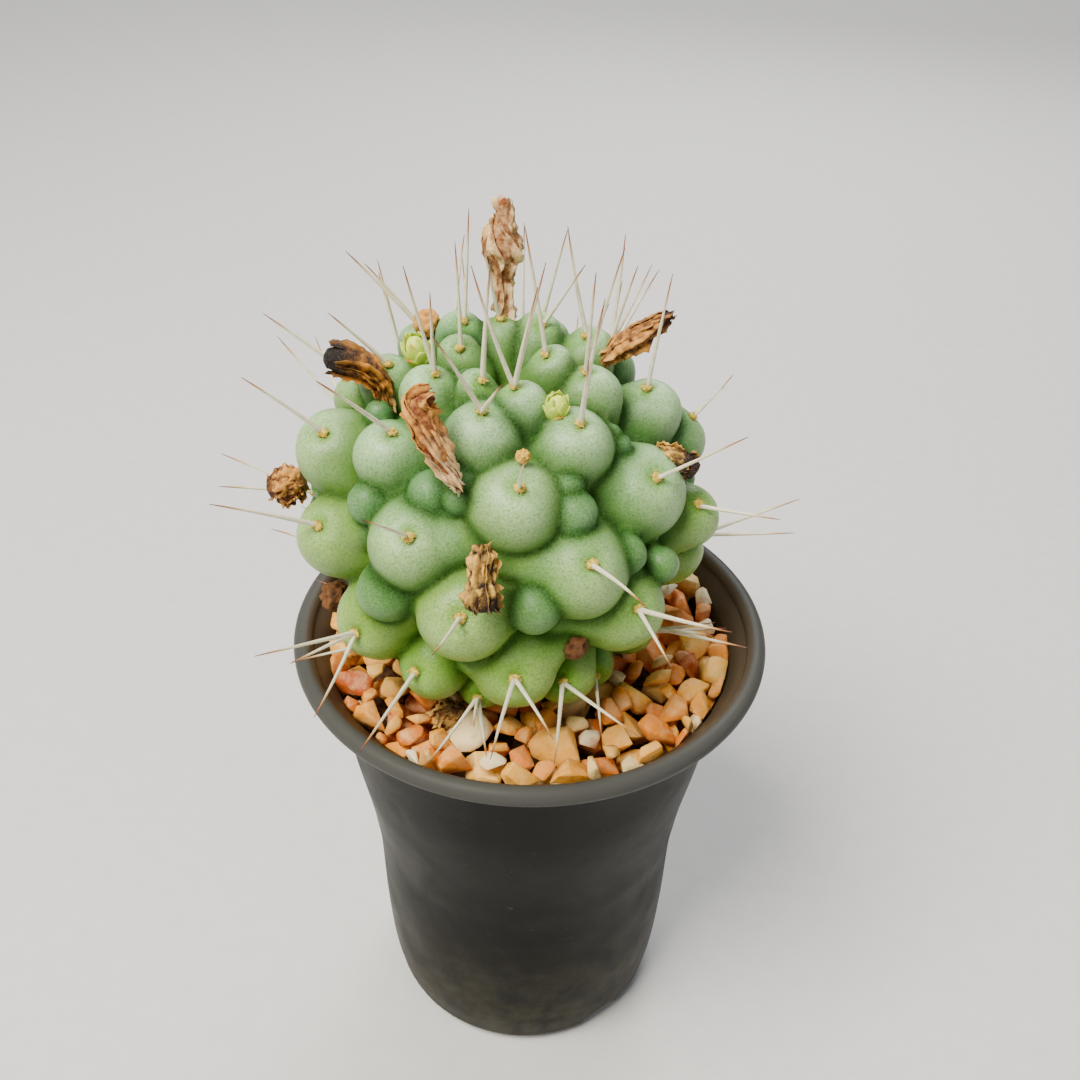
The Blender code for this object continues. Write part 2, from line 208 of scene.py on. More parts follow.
# young offsets in the creases: azimuth, elevation, radius, distance of the middle
beads = [
    (-34, 57, 1.7, 23.0), (-17, 45, 2.6, 22.6), (-27, 39, 3.0, 22.3), (-16, 39, 1.7, 23.6),
    (56, 51, 1.2, 23.9), (56, 47, 1.2, 24.1), (25, 42, 2.1, 23.2), (25, 35, 2.8, 23.3),
    (-49, 29, 2.7, 23.6), (-36, 6, 3.9, 22.7), (-34, 13, 3.2, 22.2), (10, 9, 3.2, 22.9),
    (41, 18, 2.5, 23.2), (54, 9, 2.3, 23.8), (-44, 74, 1.2, 24.4),
]
# the way each areole looks out of its tubercle, where it isn't the common lift
areoleAim = {
    0: (25, 59), 1: (6, 45), 2: (-56, 60), 4: (40, 50), 5: (-25, 70), 6: (23, 66), 7: (-78, 72), 9: (54, 73),
    10: (-50, 79), 12: (3, 79), 14: (11, 72), 15: (27, 70), 17: (17, 75), 18: (-30, 80), 20: (12, 57),
    22: (-22, 56), 23: (32, 48), 25: (-5, 43), 28: (19, 40), 30: (-34, 42), 31: (30, 55), 33: (-3, 32),
    36: (27, 32), 38: (-30, 10), 41: (1, 21), 46: (-33, 18), 49: (-3, 24), 57: (17, 3),
}
# where a tubercle runs back into a crease: azimuth and elevation of its tail's end
tails = {
    15: [(21, 46)], 17: [(-47, 30)], 20: [(-12, 46)], 23: [(40, 45)], 25: [(-7, 30)], 28: [(1, 24)],
    30: [(-50, 23)], 33: [(11, 12)], 36: [(19, 1)], 38: [(-28, 4)], 41: [(-9, -18), (20, -5)],
}
tailShape = {"reach": 20.8, "endRadius": 2.8, "share": 0.93, "taper": 0.8, "steps": 7}
farBeads = {
    "count": 14, "tries": 1500, "azimuths": (75, 285), "elevations": (-5, 62), "radius": (1.3, 2.3),
    "distance": 23.8, "apart": 6.0, "seed": 21,
}


def ruledTubercle(index):
    azimuth = globe["firstAzimuth"] + globe["divergence"] * index
    elevation = globe["firstElevation"] - globe["elevationStep"] * index
    grown = math.sin(math.pi * (index + 2) / (globe["tubercles"] + 4))
    radius = globe["youngRadius"] + globe["grownRadius"] * grown
    reach = globe["reach"] - max(0.0, globe["tuckBelow"] - elevation) * globe["tuck"]
    return azimuth, elevation, radius, reach


def allTubercles():
    spiral = [setTubercles.get(index) or ruledTubercle(index) for index in range(globe["tubercles"])]
    return [(a, e, radius * globe["plumpness"], reach) for a, e, radius, reach in spiral + fillTubercles]


tubercles = allTubercles()
ballMiddles = [globe["centre"] + direction(a, e) * (reach - r) for a, e, r, reach in tubercles]


# More beads for the far side, in the deepest creases there.
def backBeads():
    draw = random.Random(farBeads["seed"])
    distance = farBeads["distance"]
    found = []
    for _ in range(farBeads["tries"]):
        azimuth, elevation = draw.uniform(*farBeads["azimuths"]), draw.uniform(*farBeads["elevations"])
        middle = globe["centre"] + direction(azimuth, elevation) * distance
        room = min((middle - ball).length - tubercle[2] for ball, tubercle in zip(ballMiddles, tubercles))
        found.append((room, middle, (azimuth, elevation, draw.uniform(*farBeads["radius"]), distance)))
    kept = []
    for room, middle, bead in sorted(found, key=lambda row: -row[0]):
        apart = all((middle - other).length > farBeads["apart"] for other, _ in kept)
        if apart and len(kept) < farBeads["count"]:
            kept.append((middle, bead))
    return [bead for _, bead in kept]


beads = beads + backBeads()
firstBead = 1000  # beads are numbered from here, tubercles from 0


def unitBall(subdivisions):
    shape = bmesh.new()
    bmesh.ops.create_icosphere(shape, subdivisions=subdivisions, radius=1.0)
    points = np.array([vert.co for vert in shape.verts])
    faces = [[vert.index for vert in face.verts] for face in shape.faces]
    shape.free()
    return points, faces


# Points and faces of a turned solid; a radius of 0 closes it on the axis.
def turnedMesh(profile, segments, centre=(0.0, 0.0), outOfRound=None):
    points, faces, rings = [], [], []
    for radius, height in profile:
        start = len(points)
        if radius == 0.0:
            points.append((centre[0], centre[1], height))
            rings.append([start])
            continue
        for step in range(segments):
            angle = 2 * math.pi * step / segments
            wobble = outOfRound(angle, height) if outOfRound else 1.0
            points.append((centre[0] + radius * wobble * math.cos(angle),
                           centre[1] + radius * wobble * math.sin(angle), height))
        rings.append(list(range(start, start + segments)))
    for low, high in zip(rings, rings[1:]):
        for step in range(segments):
            after = (step + 1) % segments
            if len(low) == 1:
                faces.append((low[0], high[after], high[step]))
            elif len(high) == 1:
                faces.append((low[step], low[after], high[0]))
            else:
                faces.append((low[step], low[after], high[after], high[step]))
    return points, faces


def meshObject(name, points, faces, material=None):
    mesh = bpy.data.meshes.new(name)
    mesh.from_pydata([Vector(point) * mm for point in points], [], faces)
    mesh.validate()
    mesh.shade_smooth()
    if material:
        mesh.materials.append(material)
    return linked(bpy.data.objects.new(name, mesh))


# Every ball that swells out of the globe: the tubercle or bead it belongs to, its middle and its radius.
# A tubercle widens inward, so that it presses on its neighbours along a thin crease.
def allSwellings():
    found = []
    for index, (middle, tubercle) in enumerate(zip(ballMiddles, tubercles)):
        inward = (globe["centre"] - middle).normalized()
        for step in range(globe["skirtSteps"] + 1):
            deeper = step / globe["skirtSteps"]
            found.append((index, middle + inward * globe["skirtDepth"] * deeper,
                          tubercle[2] + globe["skirtSpread"] * deeper))
        thick = tubercle[2] * tailShape["share"]
        for end in tails.get(index, []):
            last = globe["centre"] + direction(*end) * tailShape["reach"]
            for step in range(1, tailShape["steps"] + 1):
                t = step / tailShape["steps"]
                thinner = (tailShape["endRadius"] - thick) * t ** tailShape["taper"]
                found.append((index, middle.lerp(last, t), thick + thinner))
    for number, (azimuth, elevation, radius, distance) in enumerate(beads):
        found.append((firstBead + number, globe["centre"] + direction(azimuth, elevation) * distance, radius))
    return found


# How far each point is from the line where its own tubercle meets the next one.
def creaseDistance(points, swellings):
    owners = np.array([swelling[0] for swelling in swellings])
    middles = np.array([swelling[1] for swelling in swellings])
    radii = np.array([swelling[2] for swelling in swellings])
    away = np.empty((len(points), len(owners)), np.float32)
    for column, (middle, radius) in enumerate(zip(middles, radii)):
        away[:, column] = np.linalg.norm(points - middle, axis=1) - radius
    nearest = away.argmin(axis=1)
    own = away[np.arange(len(points)), nearest]
    away[owners[None, :] == owners[nearest][:, None]] = np.inf
    return (away.min(axis=1) - own) / 2


# The globe under the tubercles, narrower towards the neck.
def globeCore():
    unit, faces = unitBall(5)
    low = np.clip((unit[:, 2] + 0.92) / 0.5, 0, 1)
    return unit * (globe["core"] * (0.80 + 0.20 * low))[:, None] + np.array(globe["centre"]), faces


# A ball grown slightly lumpy, so that no two tubercles are alike.
def uneven(unit, seed):
    shift = Vector((seed * 7.3, seed * 1.9, 4.0))
    return unit * np.array([1 + 0.05 * noise.noise(Vector(row) * 1.1 + shift) for row in unit])[:, None]


# All tubercles, beads, core and neck as overlapping closed shells, ready to be grown together.
def cactusBlank():
    points, faces = [], []

    def take(newPoints, newFaces):
        start = len(points)
        points.extend(map(tuple, newPoints))
        faces.extend([tuple(i + start for i in face) for face in newFaces])

    take(*globeCore())
    ball, ballFaces = unitBall(4)
    for owner, middle, radius in allSwellings():
        take(uneven(ball, owner) * radius + np.array(middle), ballFaces)
    neck = [(0.0, 60.0), (8.0, 61.0), (11.3, 66.0), (12.6, 70.0), (14.0, 73.0), (16.0, 77.0), (0.0, 80.0)]
    take(*turnedMesh(neck, 48, (globe["centre"].x, globe["centre"].y)))
    return meshObject("cactusBody", points, faces)


# The remesh leaves closed hollows inside; only the largest shell, the skin, stays.
def keepLargestShell(obj):
    shape = bmesh.new()
    shape.from_mesh(obj.data)
    shape.verts.ensure_lookup_table()
    group = [-1] * len(shape.verts)
    sizes = []
    for first in shape.verts:
        if group[first.index] >= 0:
            continue
        stack, size = [first], 0
        group[first.index] = len(sizes)
        while stack:
            vert = stack.pop()
            size += 1
            for edge in vert.link_edges:
                other = edge.other_vert(vert)
                if group[other.index] < 0:
                    group[other.index] = len(sizes)
                    stack.append(other)
        sizes.append(size)
    largest = sizes.index(max(sizes))
    stray = [vert for vert in shape.verts if group[vert.index] != largest]
    bmesh.ops.delete(shape, geom=stray, context="VERTS")
    shape.to_mesh(obj.data)
    shape.free()


def surfaceOf(obj):
    return BVHTree.FromPolygons([v.co / mm for v in obj.data.vertices],
                                [tuple(p.vertices) for p in obj.data.polygons])


# The way a tubercle's areole looks: as set, or lifted from the tubercle's own direction.
def aimOf(index):
    if index in areoleAim:
        return direction(*areoleAim[index])
    azimuth, elevation = tubercles[index][:2]
    return direction(azimuth, min(30 + 0.72 * elevation, 88))


# Where each tubercle's tip meets the skin, and which way it looks.
def areolePlaces(surface):
    places = []
    for index, (middle, tubercle) in enumerate(zip(ballMiddles, tubercles)):
        aim = aimOf(index)
        outside = tubercle[2] + 2.0
        hit, normal, _, _ = surface.ray_cast(middle + aim * outside, -aim, outside)
        if hit:
            places.append((index, hit, (aim * 0.6 + normal * 0.4).normalized()))
    return places


def growCactus():
    body = cactusBlank()
    remesh = body.modifiers.new("growTogether", "REMESH")
    remesh.mode = "VOXEL"
    remesh.voxel_size = globe["voxel"] * mm
    body = baked("cactusBody", body)
    keepLargestShell(body)
    body.data.shade_smooth()
    return body


# Presses the areoles and the creases in; gives the skin's points and the way each one faces.
def sinkAreoles(body, places):
    points = meshPoints(body.data)
    normals = np.empty(len(points) * 3, np.float32)
    body.data.vertices.foreach_get("normal", normals)
    normals = normals.reshape(-1, 3)
    pit = np.zeros(len(points))
    for _, spot, _ in places:
        away = np.linalg.norm(points - np.array(spot), axis=1) / globe["pitRadius"]
        pit = np.maximum(pit, np.exp(-away ** 2))
    grown = [swelling for swelling in allSwellings() if swelling[0] < firstBead]
    crease = np.exp(-creaseDistance(points, grown) / globe["creaseWidth"])
    for azimuth, elevation, radius, distance in beads:
        middle = np.array(globe["centre"] + direction(azimuth, elevation) * distance)
        crease *= np.clip((np.linalg.norm(points - middle, axis=1) - radius) / 0.9, 0, 1)
    points -= normals * (pit * globe["pitDepth"] + crease * globe["creaseDepth"])[:, None]
    body.data.vertices.foreach_set("co", (points * mm).astype(np.float32).ravel())
    body.data.update()
    return points, normals


# Takes the voxel steps and the sharpness of the pressed creases off.
def soften(body):
    smooth = body.modifiers.new("soften", "SMOOTH")
    smooth.factor = 0.5
    smooth.iterations = 2
    body = baked("cactusBody", body)
    body.data.shade_smooth()
    return body


# Colour attributes for the skin. "tones" holds the wax bloom with painted light on the caps (painted shade
# towards the creases and on the undersides), the nearness to an areole, the young beads and each tubercle's
# own tone; "crease" holds a thin line of painted shade and the ground beside it.
def paintSkin(body, places, points, normals):
    bloomAndTopLight = np.zeros(len(points))
    own = np.full(len(points), 9.0)
    tone = np.zeros(len(points))
    draw = random.Random(5)
    for (azimuth, elevation, radius, _), middle in zip(tubercles, ballMiddles):
        away = np.linalg.norm(points - np.array(middle), axis=1) / radius
        closer = away < own
        own = np.where(closer, away, own)
        tone = np.where(closer, draw.random(), tone)
        outward = (points - np.array(middle)) @ np.array(direction(azimuth, elevation)) / radius
        # paler the more the skin faces out of its tubercle: wax bloom and painted light on the cap
        bloomAndTopLight = np.where(closer, np.clip(outward * 0.85 + 0.2, 0, 1), bloomAndTopLight)
    inward = creaseDistance(points, allSwellings())
    # less bloom near the creases and on skin that faces down: painted shade
    bloomAndTopLight *= np.clip(inward / 2.4, 0, 1) ** 0.6 * np.clip(0.76 + 0.45 * normals[:, 2], 0, 1)
    bead = np.zeros(len(points))
    for azimuth, elevation, radius, distance in beads:
        middle = np.array(globe["centre"] + direction(azimuth, elevation) * distance)
        away = np.linalg.norm(points - middle, axis=1) / radius
        bead = np.maximum(bead, np.clip((1.12 - away) * 8, 0, 1))
    halo = np.zeros(len(points))
    for _, spot, _ in places:
        away = np.linalg.norm(points - np.array(spot), axis=1)
        halo = np.maximum(halo, np.exp(-(away / globe["haloRadius"]) ** 2))
    storeColour(body.data, "tones", np.stack([bloomAndTopLight, halo, bead, tone], axis=1))
    # a thin dark line of painted shade along each crease
    line = np.exp(-(inward / 0.42) ** 2)
    beside = np.exp(-inward ** 2)
    storeColour(body.data, "crease", np.stack([line, beside, line, line], axis=1))


skinTones = {
    "greenest": 84.0, "palest": 113.0,  # heights that the pairs of colours belong to
    # under: the skin without bloom, on the flanks and undersides where the painted shade falls; cap: the
    # bloom with painted light
    "under": ("#4a7a18", "#3b6f34"), "cap": ("#98bd4c", "#aad49e"), "dustAndSparkle": ("#c6dd80", "#d6e6c8"),
    # crease: the colour of the painted shade line along the creases
    "own": "#93ab30", "bead": "#3a7240", "halo": "#5f9a0c", "crease": "#153804", "fleck": "#3d7428",
    "gloss": 0.62, "creaseGloss": 0.02,
}


# Living skin under a thin wax bloom: soft broad highlights, caps paled by the bloom and by painted light from
# above, painted shade on the undersides and as a thin line in the creases, sap green beside them
def cactusSkin():
    made, tree, shader, where = newMaterial("cactusSkin_waxBloom", 0.41, 1.46)
    tones = addNode(tree, "ShaderNodeAttribute", attribute_name="tones")
    bloomAndTopLight, halo, bead = addNode(tree, "ShaderNodeSeparateColor", {0: tones}).outputs
    crease = addNode(tree, "ShaderNodeAttribute", attribute_name="crease")
    line, beside, _ = addNode(tree, "ShaderNodeSeparateColor", {0: crease}).outputs
    place = addNode(tree, "ShaderNodeSeparateXYZ", {0: where})
    height = addNode(tree, "ShaderNodeMapRange", {
        0: place.outputs["Z"], 1: skinTones["greenest"] * mm, 2: skinTones["palest"] * mm})
    under, cap, dustAndSparkle = [
        addNode(tree, "ShaderNodeMix", {0: height, 6: srgb(low), 7: srgb(high)}, data_type="RGBA")
        for low, high in (skinTones["under"], skinTones["cap"], skinTones["dustAndSparkle"])]
    patches = addNode(tree, "ShaderNodeTexNoise", {
        "Vector": where, "Scale": 1 / (5.0 * mm), "Detail": 3.0, "Roughness": 0.55})
    patchy = addNode(tree, "ShaderNodeMapRange", {0: patches, 1: 0.3, 2: 0.7, 3: 0.75, 4: 1.1})
    # bloom and painted light, broken into patches
    patchyBloomAndLight = addNode(tree, "ShaderNodeMath", {0: bloomAndTopLight, 1: patchy}, operation="MULTIPLY", use_clamp=True)
    grain = addNode(tree, "ShaderNodeTexNoise", {
        "Vector": where, "Scale": 1 / (0.24 * mm), "Detail": 2.0, "Roughness": 0.5})
    raised = addNode(tree, "ShaderNodeMapRange", {0: grain, 1: 0.38, 2: 0.74})
    # pale powder speckle on the caps, following the bloom and painted light; it also serves as painted glints
    powder = addNode(tree, "ShaderNodeMapRange", {0: patchyBloomAndLight, 3: 0.05, 4: 0.44})
    dustAndGlints = addNode(tree, "ShaderNodeMath", {0: raised, 1: powder}, operation="MULTIPLY")
    fleck = addNode(tree, "ShaderNodeTexNoise", {
        "Vector": where, "Scale": 1 / (0.30 * mm), "Detail": 3.0, "Roughness": 0.6})
    colour = layered(
        tree, under,
        # pale caps of bloom and painted light over the under colour
        (patchyBloomAndLight, (0, 1), (0, 1), cap),
        (tones.outputs["Alpha"], (0, 1), (0, 0.25), srgb(skinTones["own"])),
        (bead, (0, 1), (0, 0.6), srgb(skinTones["bead"])),
        (halo, (0.2, 0.9), (0, 0.85), srgb(skinTones["halo"])),
        # painted shade along the creases
        (line, (0, 1), (0, 0.85), srgb(skinTones["crease"])),
        (dustAndGlints, (0, 1), (0, 1), dustAndSparkle),
        (fleck, (0.50, 0.62), (0, 0.42), srgb(skinTones["fleck"])))
    tree.links.new(colour, shader.inputs["Base Color"])
    shader.inputs["Specular IOR Level"].default_value = skinTones["gloss"]
    addNode(tree, "ShaderNodeMapRange", {0: beside, 3: skinTones["gloss"], 4: skinTones["creaseGloss"]},
            into=shader.inputs["Specular IOR Level"])
    shader.inputs["Subsurface Weight"].default_value = 0.18
    shader.inputs["Subsurface Radius"].default_value = (0.6, 1.0, 0.35)
    shader.inputs["Subsurface Scale"].default_value = 0.5 * mm
    addNode(tree, "ShaderNodeBump", {"Height": grain, "Distance": 0.08 * mm, "Strength": 0.9},
            into=shader.inputs["Normal"])
    return made


spineLook = {
    "sides": 7, "steps": 9, "girth": 0.33, "tipGirth": 0.04, "taper": 0.75, "sag": 0.018, "buried": 0.5,
    "perAreole": (1, 1, 2, 2, 3), "length": (9, 13.5), "lean": 0.42,
    "tones": [(0.0, "#e0c67a"), (0.07, "#f1ecd2"), (0.68, "#e9e0bd"), (0.82, "#c08c50"), (0.91, "#8a3f1c"),
              (1.0, "#4a2016")],
}
# by tubercle, each spine's azimuth, elevation and length; the others get ruled ones
spinesOf = {
    0: [(81, 59, 9)], 1: [(-117, 88, 12.5)], 2: [(-95, 80, 15)], 4: [(44, 84, 14)], 5: [(-121, 76, 13)],
    6: [(155, 83, 13)], 7: [(-64, 72, 15.5), (64, 77, 15.5), (49, 76, 13)],
    9: [(-65, 77, 13.5), (0, 81, 10.5)], 10: [(23, 84, 12.5), (78, 77, 15.5)],
    11: [(-90, 48, 12), (-88, 52, 9.5)], 12: [(-46, 60, 12.5), (29, 49, 7.5)], 14: [(-74, 48, 9.5)],
    15: [(27, 77, 16.5), (10, 75, 9)], 16: [(180, 62, 13)], 17: [(-53, 47, 12)], 18: [(129, 80, 14)],
    19: [(-88, 40, 12.5)], 20: [(7, 51, 9.5)], 21: [(128, 52, 13), (168, 40, 11)], 22: [(-73, 45, 11.5)],
    23: [(56, 42, 13.5)], 24: [(-165, 55, 13)], 25: [(-28, 42, 10)], 26: [(119, 40, 7)],
    27: [(-116, 40, 13), (-150, 30, 12)], 28: [(22, 18, 13)], 29: [(150, 38, 13), (176, 25, 12)],
    30: [(-59, 30, 13.5)], 31: [(60, 10, 10)], 33: [(-12, 17, 10)], 34: [(128, 24, 13)],
    35: [(-100, 18, 13), (-75, 12, 12)], 36: [(42, 22, 14), (15, 5, 11)],
    38: [(-44, 19, 14), (-12, -5, 13), (-37, 12, 10)], 39: [(96, 22, 13.5), (80, 10, 12)],
    41: [(-8, 8, 14.5), (20, 13, 13)], 42: [(170, 18, 12), (-160, 10, 12)], 46: [(-18, 4, 14.5)],
    49: [(-4, 1, 13.5), (35, 13, 14.5)], 57: [(3, -3, 10)],
}


# Dry spine sheath: smooth as horn, ivory at the foot, tawny above and red-brown at the point
def spineHorn():
    made, tree, shader, where = newMaterial("spine_dryHorn", 0.42, 1.54)
    along = addNode(tree, "ShaderNodeAttribute", attribute_name="along")
    ramp = addNode(tree, "ShaderNodeValToRGB", {0: along.outputs["Fac"]})
    setStops(ramp, spineLook["tones"])
    streaks = addNode(tree, "ShaderNodeTexNoise", {
        "Vector": where, "Scale": 1 / (0.9 * mm), "Detail": 3.0, "Roughness": 0.55})
    colour = layered(tree, ramp, (streaks, (0.35, 0.75), (0, 0.35), srgb("#a99a6d")))
    tree.links.new(colour, shader.inputs["Base Color"])
    shader.inputs["Subsurface Weight"].default_value = 0.1
    shader.inputs["Subsurface Radius"].default_value = (1.0, 0.8, 0.5)
    shader.inputs["Subsurface Scale"].default_value = 0.6 * mm
    scratches = addNode(tree, "ShaderNodeTexNoise", {
        "Vector": where, "Scale": 1 / (0.25 * mm), "Detail": 2.0, "Roughness": 0.55})
    addNode(tree, "ShaderNodeBump", {"Height": scratches, "Distance": 0.02 * mm, "Strength": 0.5},
            into=shader.inputs["Normal"])
    return made


# Areole wool: short golden felt, matt, with paler tips
def areoleWool():
    made, tree, shader, where = newMaterial("areoleWool_felted", 0.85, 1.45)
    tufts = addNode(tree, "ShaderNodeTexNoise", {
        "Vector": where, "Scale": 1 / (0.45 * mm), "Detail": 3.0, "Roughness": 0.55})
    colour = layered(tree, srgb("#b08a04"), (tufts, (0.35, 0.68), (0, 1), srgb("#ead458")))
    tree.links.new(colour, shader.inputs["Base Color"])
    shader.inputs["Sheen Weight"].default_value = 0.3
    addNode(tree, "ShaderNodeBump", {"Height": tufts, "Distance": 0.1 * mm, "Strength": 0.8},
            into=shader.inputs["Normal"])
    return made


# Lines with a girth at each point become closed tapering spines.
def spineTree(material):
    tree = bpy.data.node_groups.new("spineTree", "GeometryNodeTree")
    face = tree.interface
    face.new_socket("Geometry", in_out="INPUT", socket_type="NodeSocketGeometry")
    face.new_socket("Sides", in_out="INPUT", socket_type="NodeSocketInt")
    face.new_socket("Geometry", in_out="OUTPUT", socket_type="NodeSocketGeometry")
    given = addNode(tree, "NodeGroupInput")
    curves = addNode(tree, "GeometryNodeMeshToCurve", {"Mesh": given.outputs["Geometry"]})
    ring = addNode(tree, "GeometryNodeCurvePrimitiveCircle", {
        "Resolution": given.outputs["Sides"], "Radius": 1.0})
    girth = addNode(tree, "GeometryNodeInputNamedAttribute", {"Name": "girth"}, data_type="FLOAT")
    tube = addNode(tree, "GeometryNodeCurveToMesh", {
        "Curve": curves, "Profile Curve": ring, "Scale": girth, "Fill Caps": True})
    smooth = addNode(tree, "GeometryNodeSetShadeSmooth", {"Geometry": tube})
    real = addNode(tree, "GeometryNodeRealizeInstances", {"Geometry": smooth})
    dressed = addNode(tree, "GeometryNodeSetMaterial", {"Geometry": real, "Material": material})
    addNode(tree, "NodeGroupOutput", {"Geometry": dressed})
    return tree


# Puts a node tree on an object and sets the tree's named inputs.
def useTree(obj, tree, values):
    modifier = obj.modifiers.new(tree.name, "NODES")
    modifier.node_group = tree
    sockets = {item.name: item.identifier for item in tree.interface.items_tree if item.in_out == "INPUT"}
    for name, value in values.items():
        modifier[sockets[name]] = value


# One to three spines that lean about the way their areole looks.
def ruledSpines(aim, draw):
    made = []
    for _ in range(draw.choice(spineLook["perAreole"])):
        lean = Vector((draw.uniform(-1, 1), draw.uniform(-1, 1), draw.uniform(-0.4, 1))) * spineLook["lean"]
        made.append(((aim + lean).normalized(), draw.uniform(*spineLook["length"])))
    return made


def buildSpines(places):
    draw = random.Random(3)
    thin, buried = spineLook["tipGirth"], spineLook["buried"]
    points, edges, girth, along = [], [], [], []
    for index, spot, aim in places:
        if index in spinesOf:
            spines = [(direction(a, e), length) for a, e, length in spinesOf[index]]
        else:
            spines = ruledSpines(aim, draw)
        for heading, length in spines:
            across = Vector((draw.uniform(-1, 1), draw.uniform(-1, 1), draw.uniform(-1, 1)))
            side = heading.cross(across).normalized()
            bend = side * length * draw.uniform(0.2, 1.0) * spineLook["sag"]
            thick = spineLook["girth"] * draw.uniform(0.85, 1.1) * (0.75 + 0.25 * length / 14)
            foot = spot - aim * buried + heading.cross(aim) * 0.25
            for step in range(spineLook["steps"] + 1):
                t = step / spineLook["steps"]
                if step:
                    edges.append((len(points) - 1, len(points)))
                points.append(foot + heading * (length + buried) * t + bend * 4 * t * (1 - t))
                girth.append((thin + (thick - thin) * (1 - t) ** spineLook["taper"]) * mm)
                along.append(t)
    mesh = bpy.data.meshes.new("spines")
    mesh.from_pydata([point * mm for point in points], edges, [])
    for name, values in (("girth", girth), ("along", along)):
        mesh.attributes.new(name, "FLOAT", "POINT").data.foreach_set("value", values)
    source = linked(bpy.data.objects.new("spineLines", mesh))
    useTree(source, spineTree(spineHorn()), {"Sides": spineLook["sides"]})
    return baked("spines", source)


wool = {"padRadius": 0.58, "padHeight": 0.34, "hairLength": 0.40, "hairsPerMm2": 14.0}


# Pads get a pelt of short bent hairs.
def woolTree(material):
    tree = bpy.data.node_groups.new("woolTree", "GeometryNodeTree")
    face = tree.interface
    face.new_socket("Geometry", in_out="INPUT", socket_type="NodeSocketGeometry")
    face.new_socket("Density", in_out="INPUT", socket_type="NodeSocketFloat")
    face.new_socket("Hair Length", in_out="INPUT", socket_type="NodeSocketFloat")
    face.new_socket("Hair", in_out="INPUT", socket_type="NodeSocketObject")
    face.new_socket("Geometry", in_out="OUTPUT", socket_type="NodeSocketGeometry")
    given = addNode(tree, "NodeGroupInput")
    spread = addNode(tree, "GeometryNodeDistributePointsOnFaces", {
        "Mesh": given.outputs["Geometry"], "Density": given.outputs["Density"], "Seed": 4})
    hair = addNode(tree, "GeometryNodeObjectInfo", {"Object": given.outputs["Hair"]})
    tilt = addNode(tree, "FunctionNodeRandomValue", {0: (-0.7, -0.7, -3.1), 1: (0.7, 0.7, 3.1), "Seed": 8},
                   data_type="FLOAT_VECTOR")
    turn = addNode(tree, "FunctionNodeRotateRotation", {
        "Rotation": spread.outputs["Rotation"], "Rotate By": tilt}, rotation_space="LOCAL")
    size = addNode(tree, "FunctionNodeRandomValue", {2: 0.5, 3: 1.15, "Seed": 9}, data_type="FLOAT")
    scale = addNode(tree, "ShaderNodeMath", {0: size, 1: given.outputs["Hair Length"]}, operation="MULTIPLY")
    pelt = addNode(tree, "GeometryNodeInstanceOnPoints", {
        "Points": spread, "Instance": hair.outputs["Geometry"], "Rotation": turn, "Scale": scale})
    both = addNode(tree, "GeometryNodeJoinGeometry")
    tree.links.new(given.outputs["Geometry"], both.inputs[0])
    tree.links.new(pelt.outputs["Instances"], both.inputs[0])
    real = addNode(tree, "GeometryNodeRealizeInstances", {"Geometry": both})
    dressed = addNode(tree, "GeometryNodeSetMaterial", {"Geometry": real, "Material": material})
    addNode(tree, "NodeGroupOutput", {"Geometry": dressed})
    return tree


# One bent three-sided hair, a unit long, pointing up.
def hairBlank():
    points, faces = [], []
    for step, (height, shift, radius) in enumerate(((0.0, 0.0, 0.13), (0.55, 0.10, 0.09), (1.0, 0.34, 0.02))):
        for corner in range(3):
            angle = 2 * math.pi * corner / 3
            points.append((shift + radius * math.cos(angle), radius * math.sin(angle), height))
        if step:
            base = 3 * (step - 1)
            faces += [(base + c, base + (c + 1) % 3, base + 3 + (c + 1) % 3, base + 3 + c) for c in range(3)]
    faces += [(2, 1, 0), (6, 7, 8)]
    mesh = bpy.data.meshes.new("hairBlank")
    mesh.from_pydata(points, [], faces)
    mesh.shade_smooth()
    return bpy.data.objects.new("hairBlank", mesh)


def buildWool(places):
    unit, unitFaces = unitBall(3)
    points, faces = [], []
    for index, spot, aim in places:
        size = wool["padRadius"] * (0.75 + 0.08 * tubercles[index][2])
        turn = np.array(aim.to_track_quat("Z", "Y").to_matrix())
        shaped = unit * np.array((size, size * 0.85, wool["padHeight"]))
        lumps = [1 + 0.28 * noise.noise(Vector(p) * 2.6 + Vector((index * 3.7, 0, 0))) for p in shaped]
        shaped = (shaped * np.array(lumps)[:, None]) @ turn.T + np.array(spot - aim * 0.25)
        start = len(points)
        points.extend(map(tuple, shaped))
        faces.extend([tuple(i + start for i in face) for face in unitFaces])
    source = meshObject("woolPads", points, faces)
    useTree(source, woolTree(areoleWool()), {
        "Density": wool["hairsPerMm2"] / mm ** 2, "Hair Length": wool["hairLength"] * mm,
        "Hair": hairBlank()})
    return baked("areoleWool", source)


petal = {
    "rings": 60, "coreSides": 40, "coreShare": 0.80, "rows": 38, "cols": 11,
    "pleat": 0.20, "wave": 0.60, "grain": 0.26, "thickness": 0.11,
}
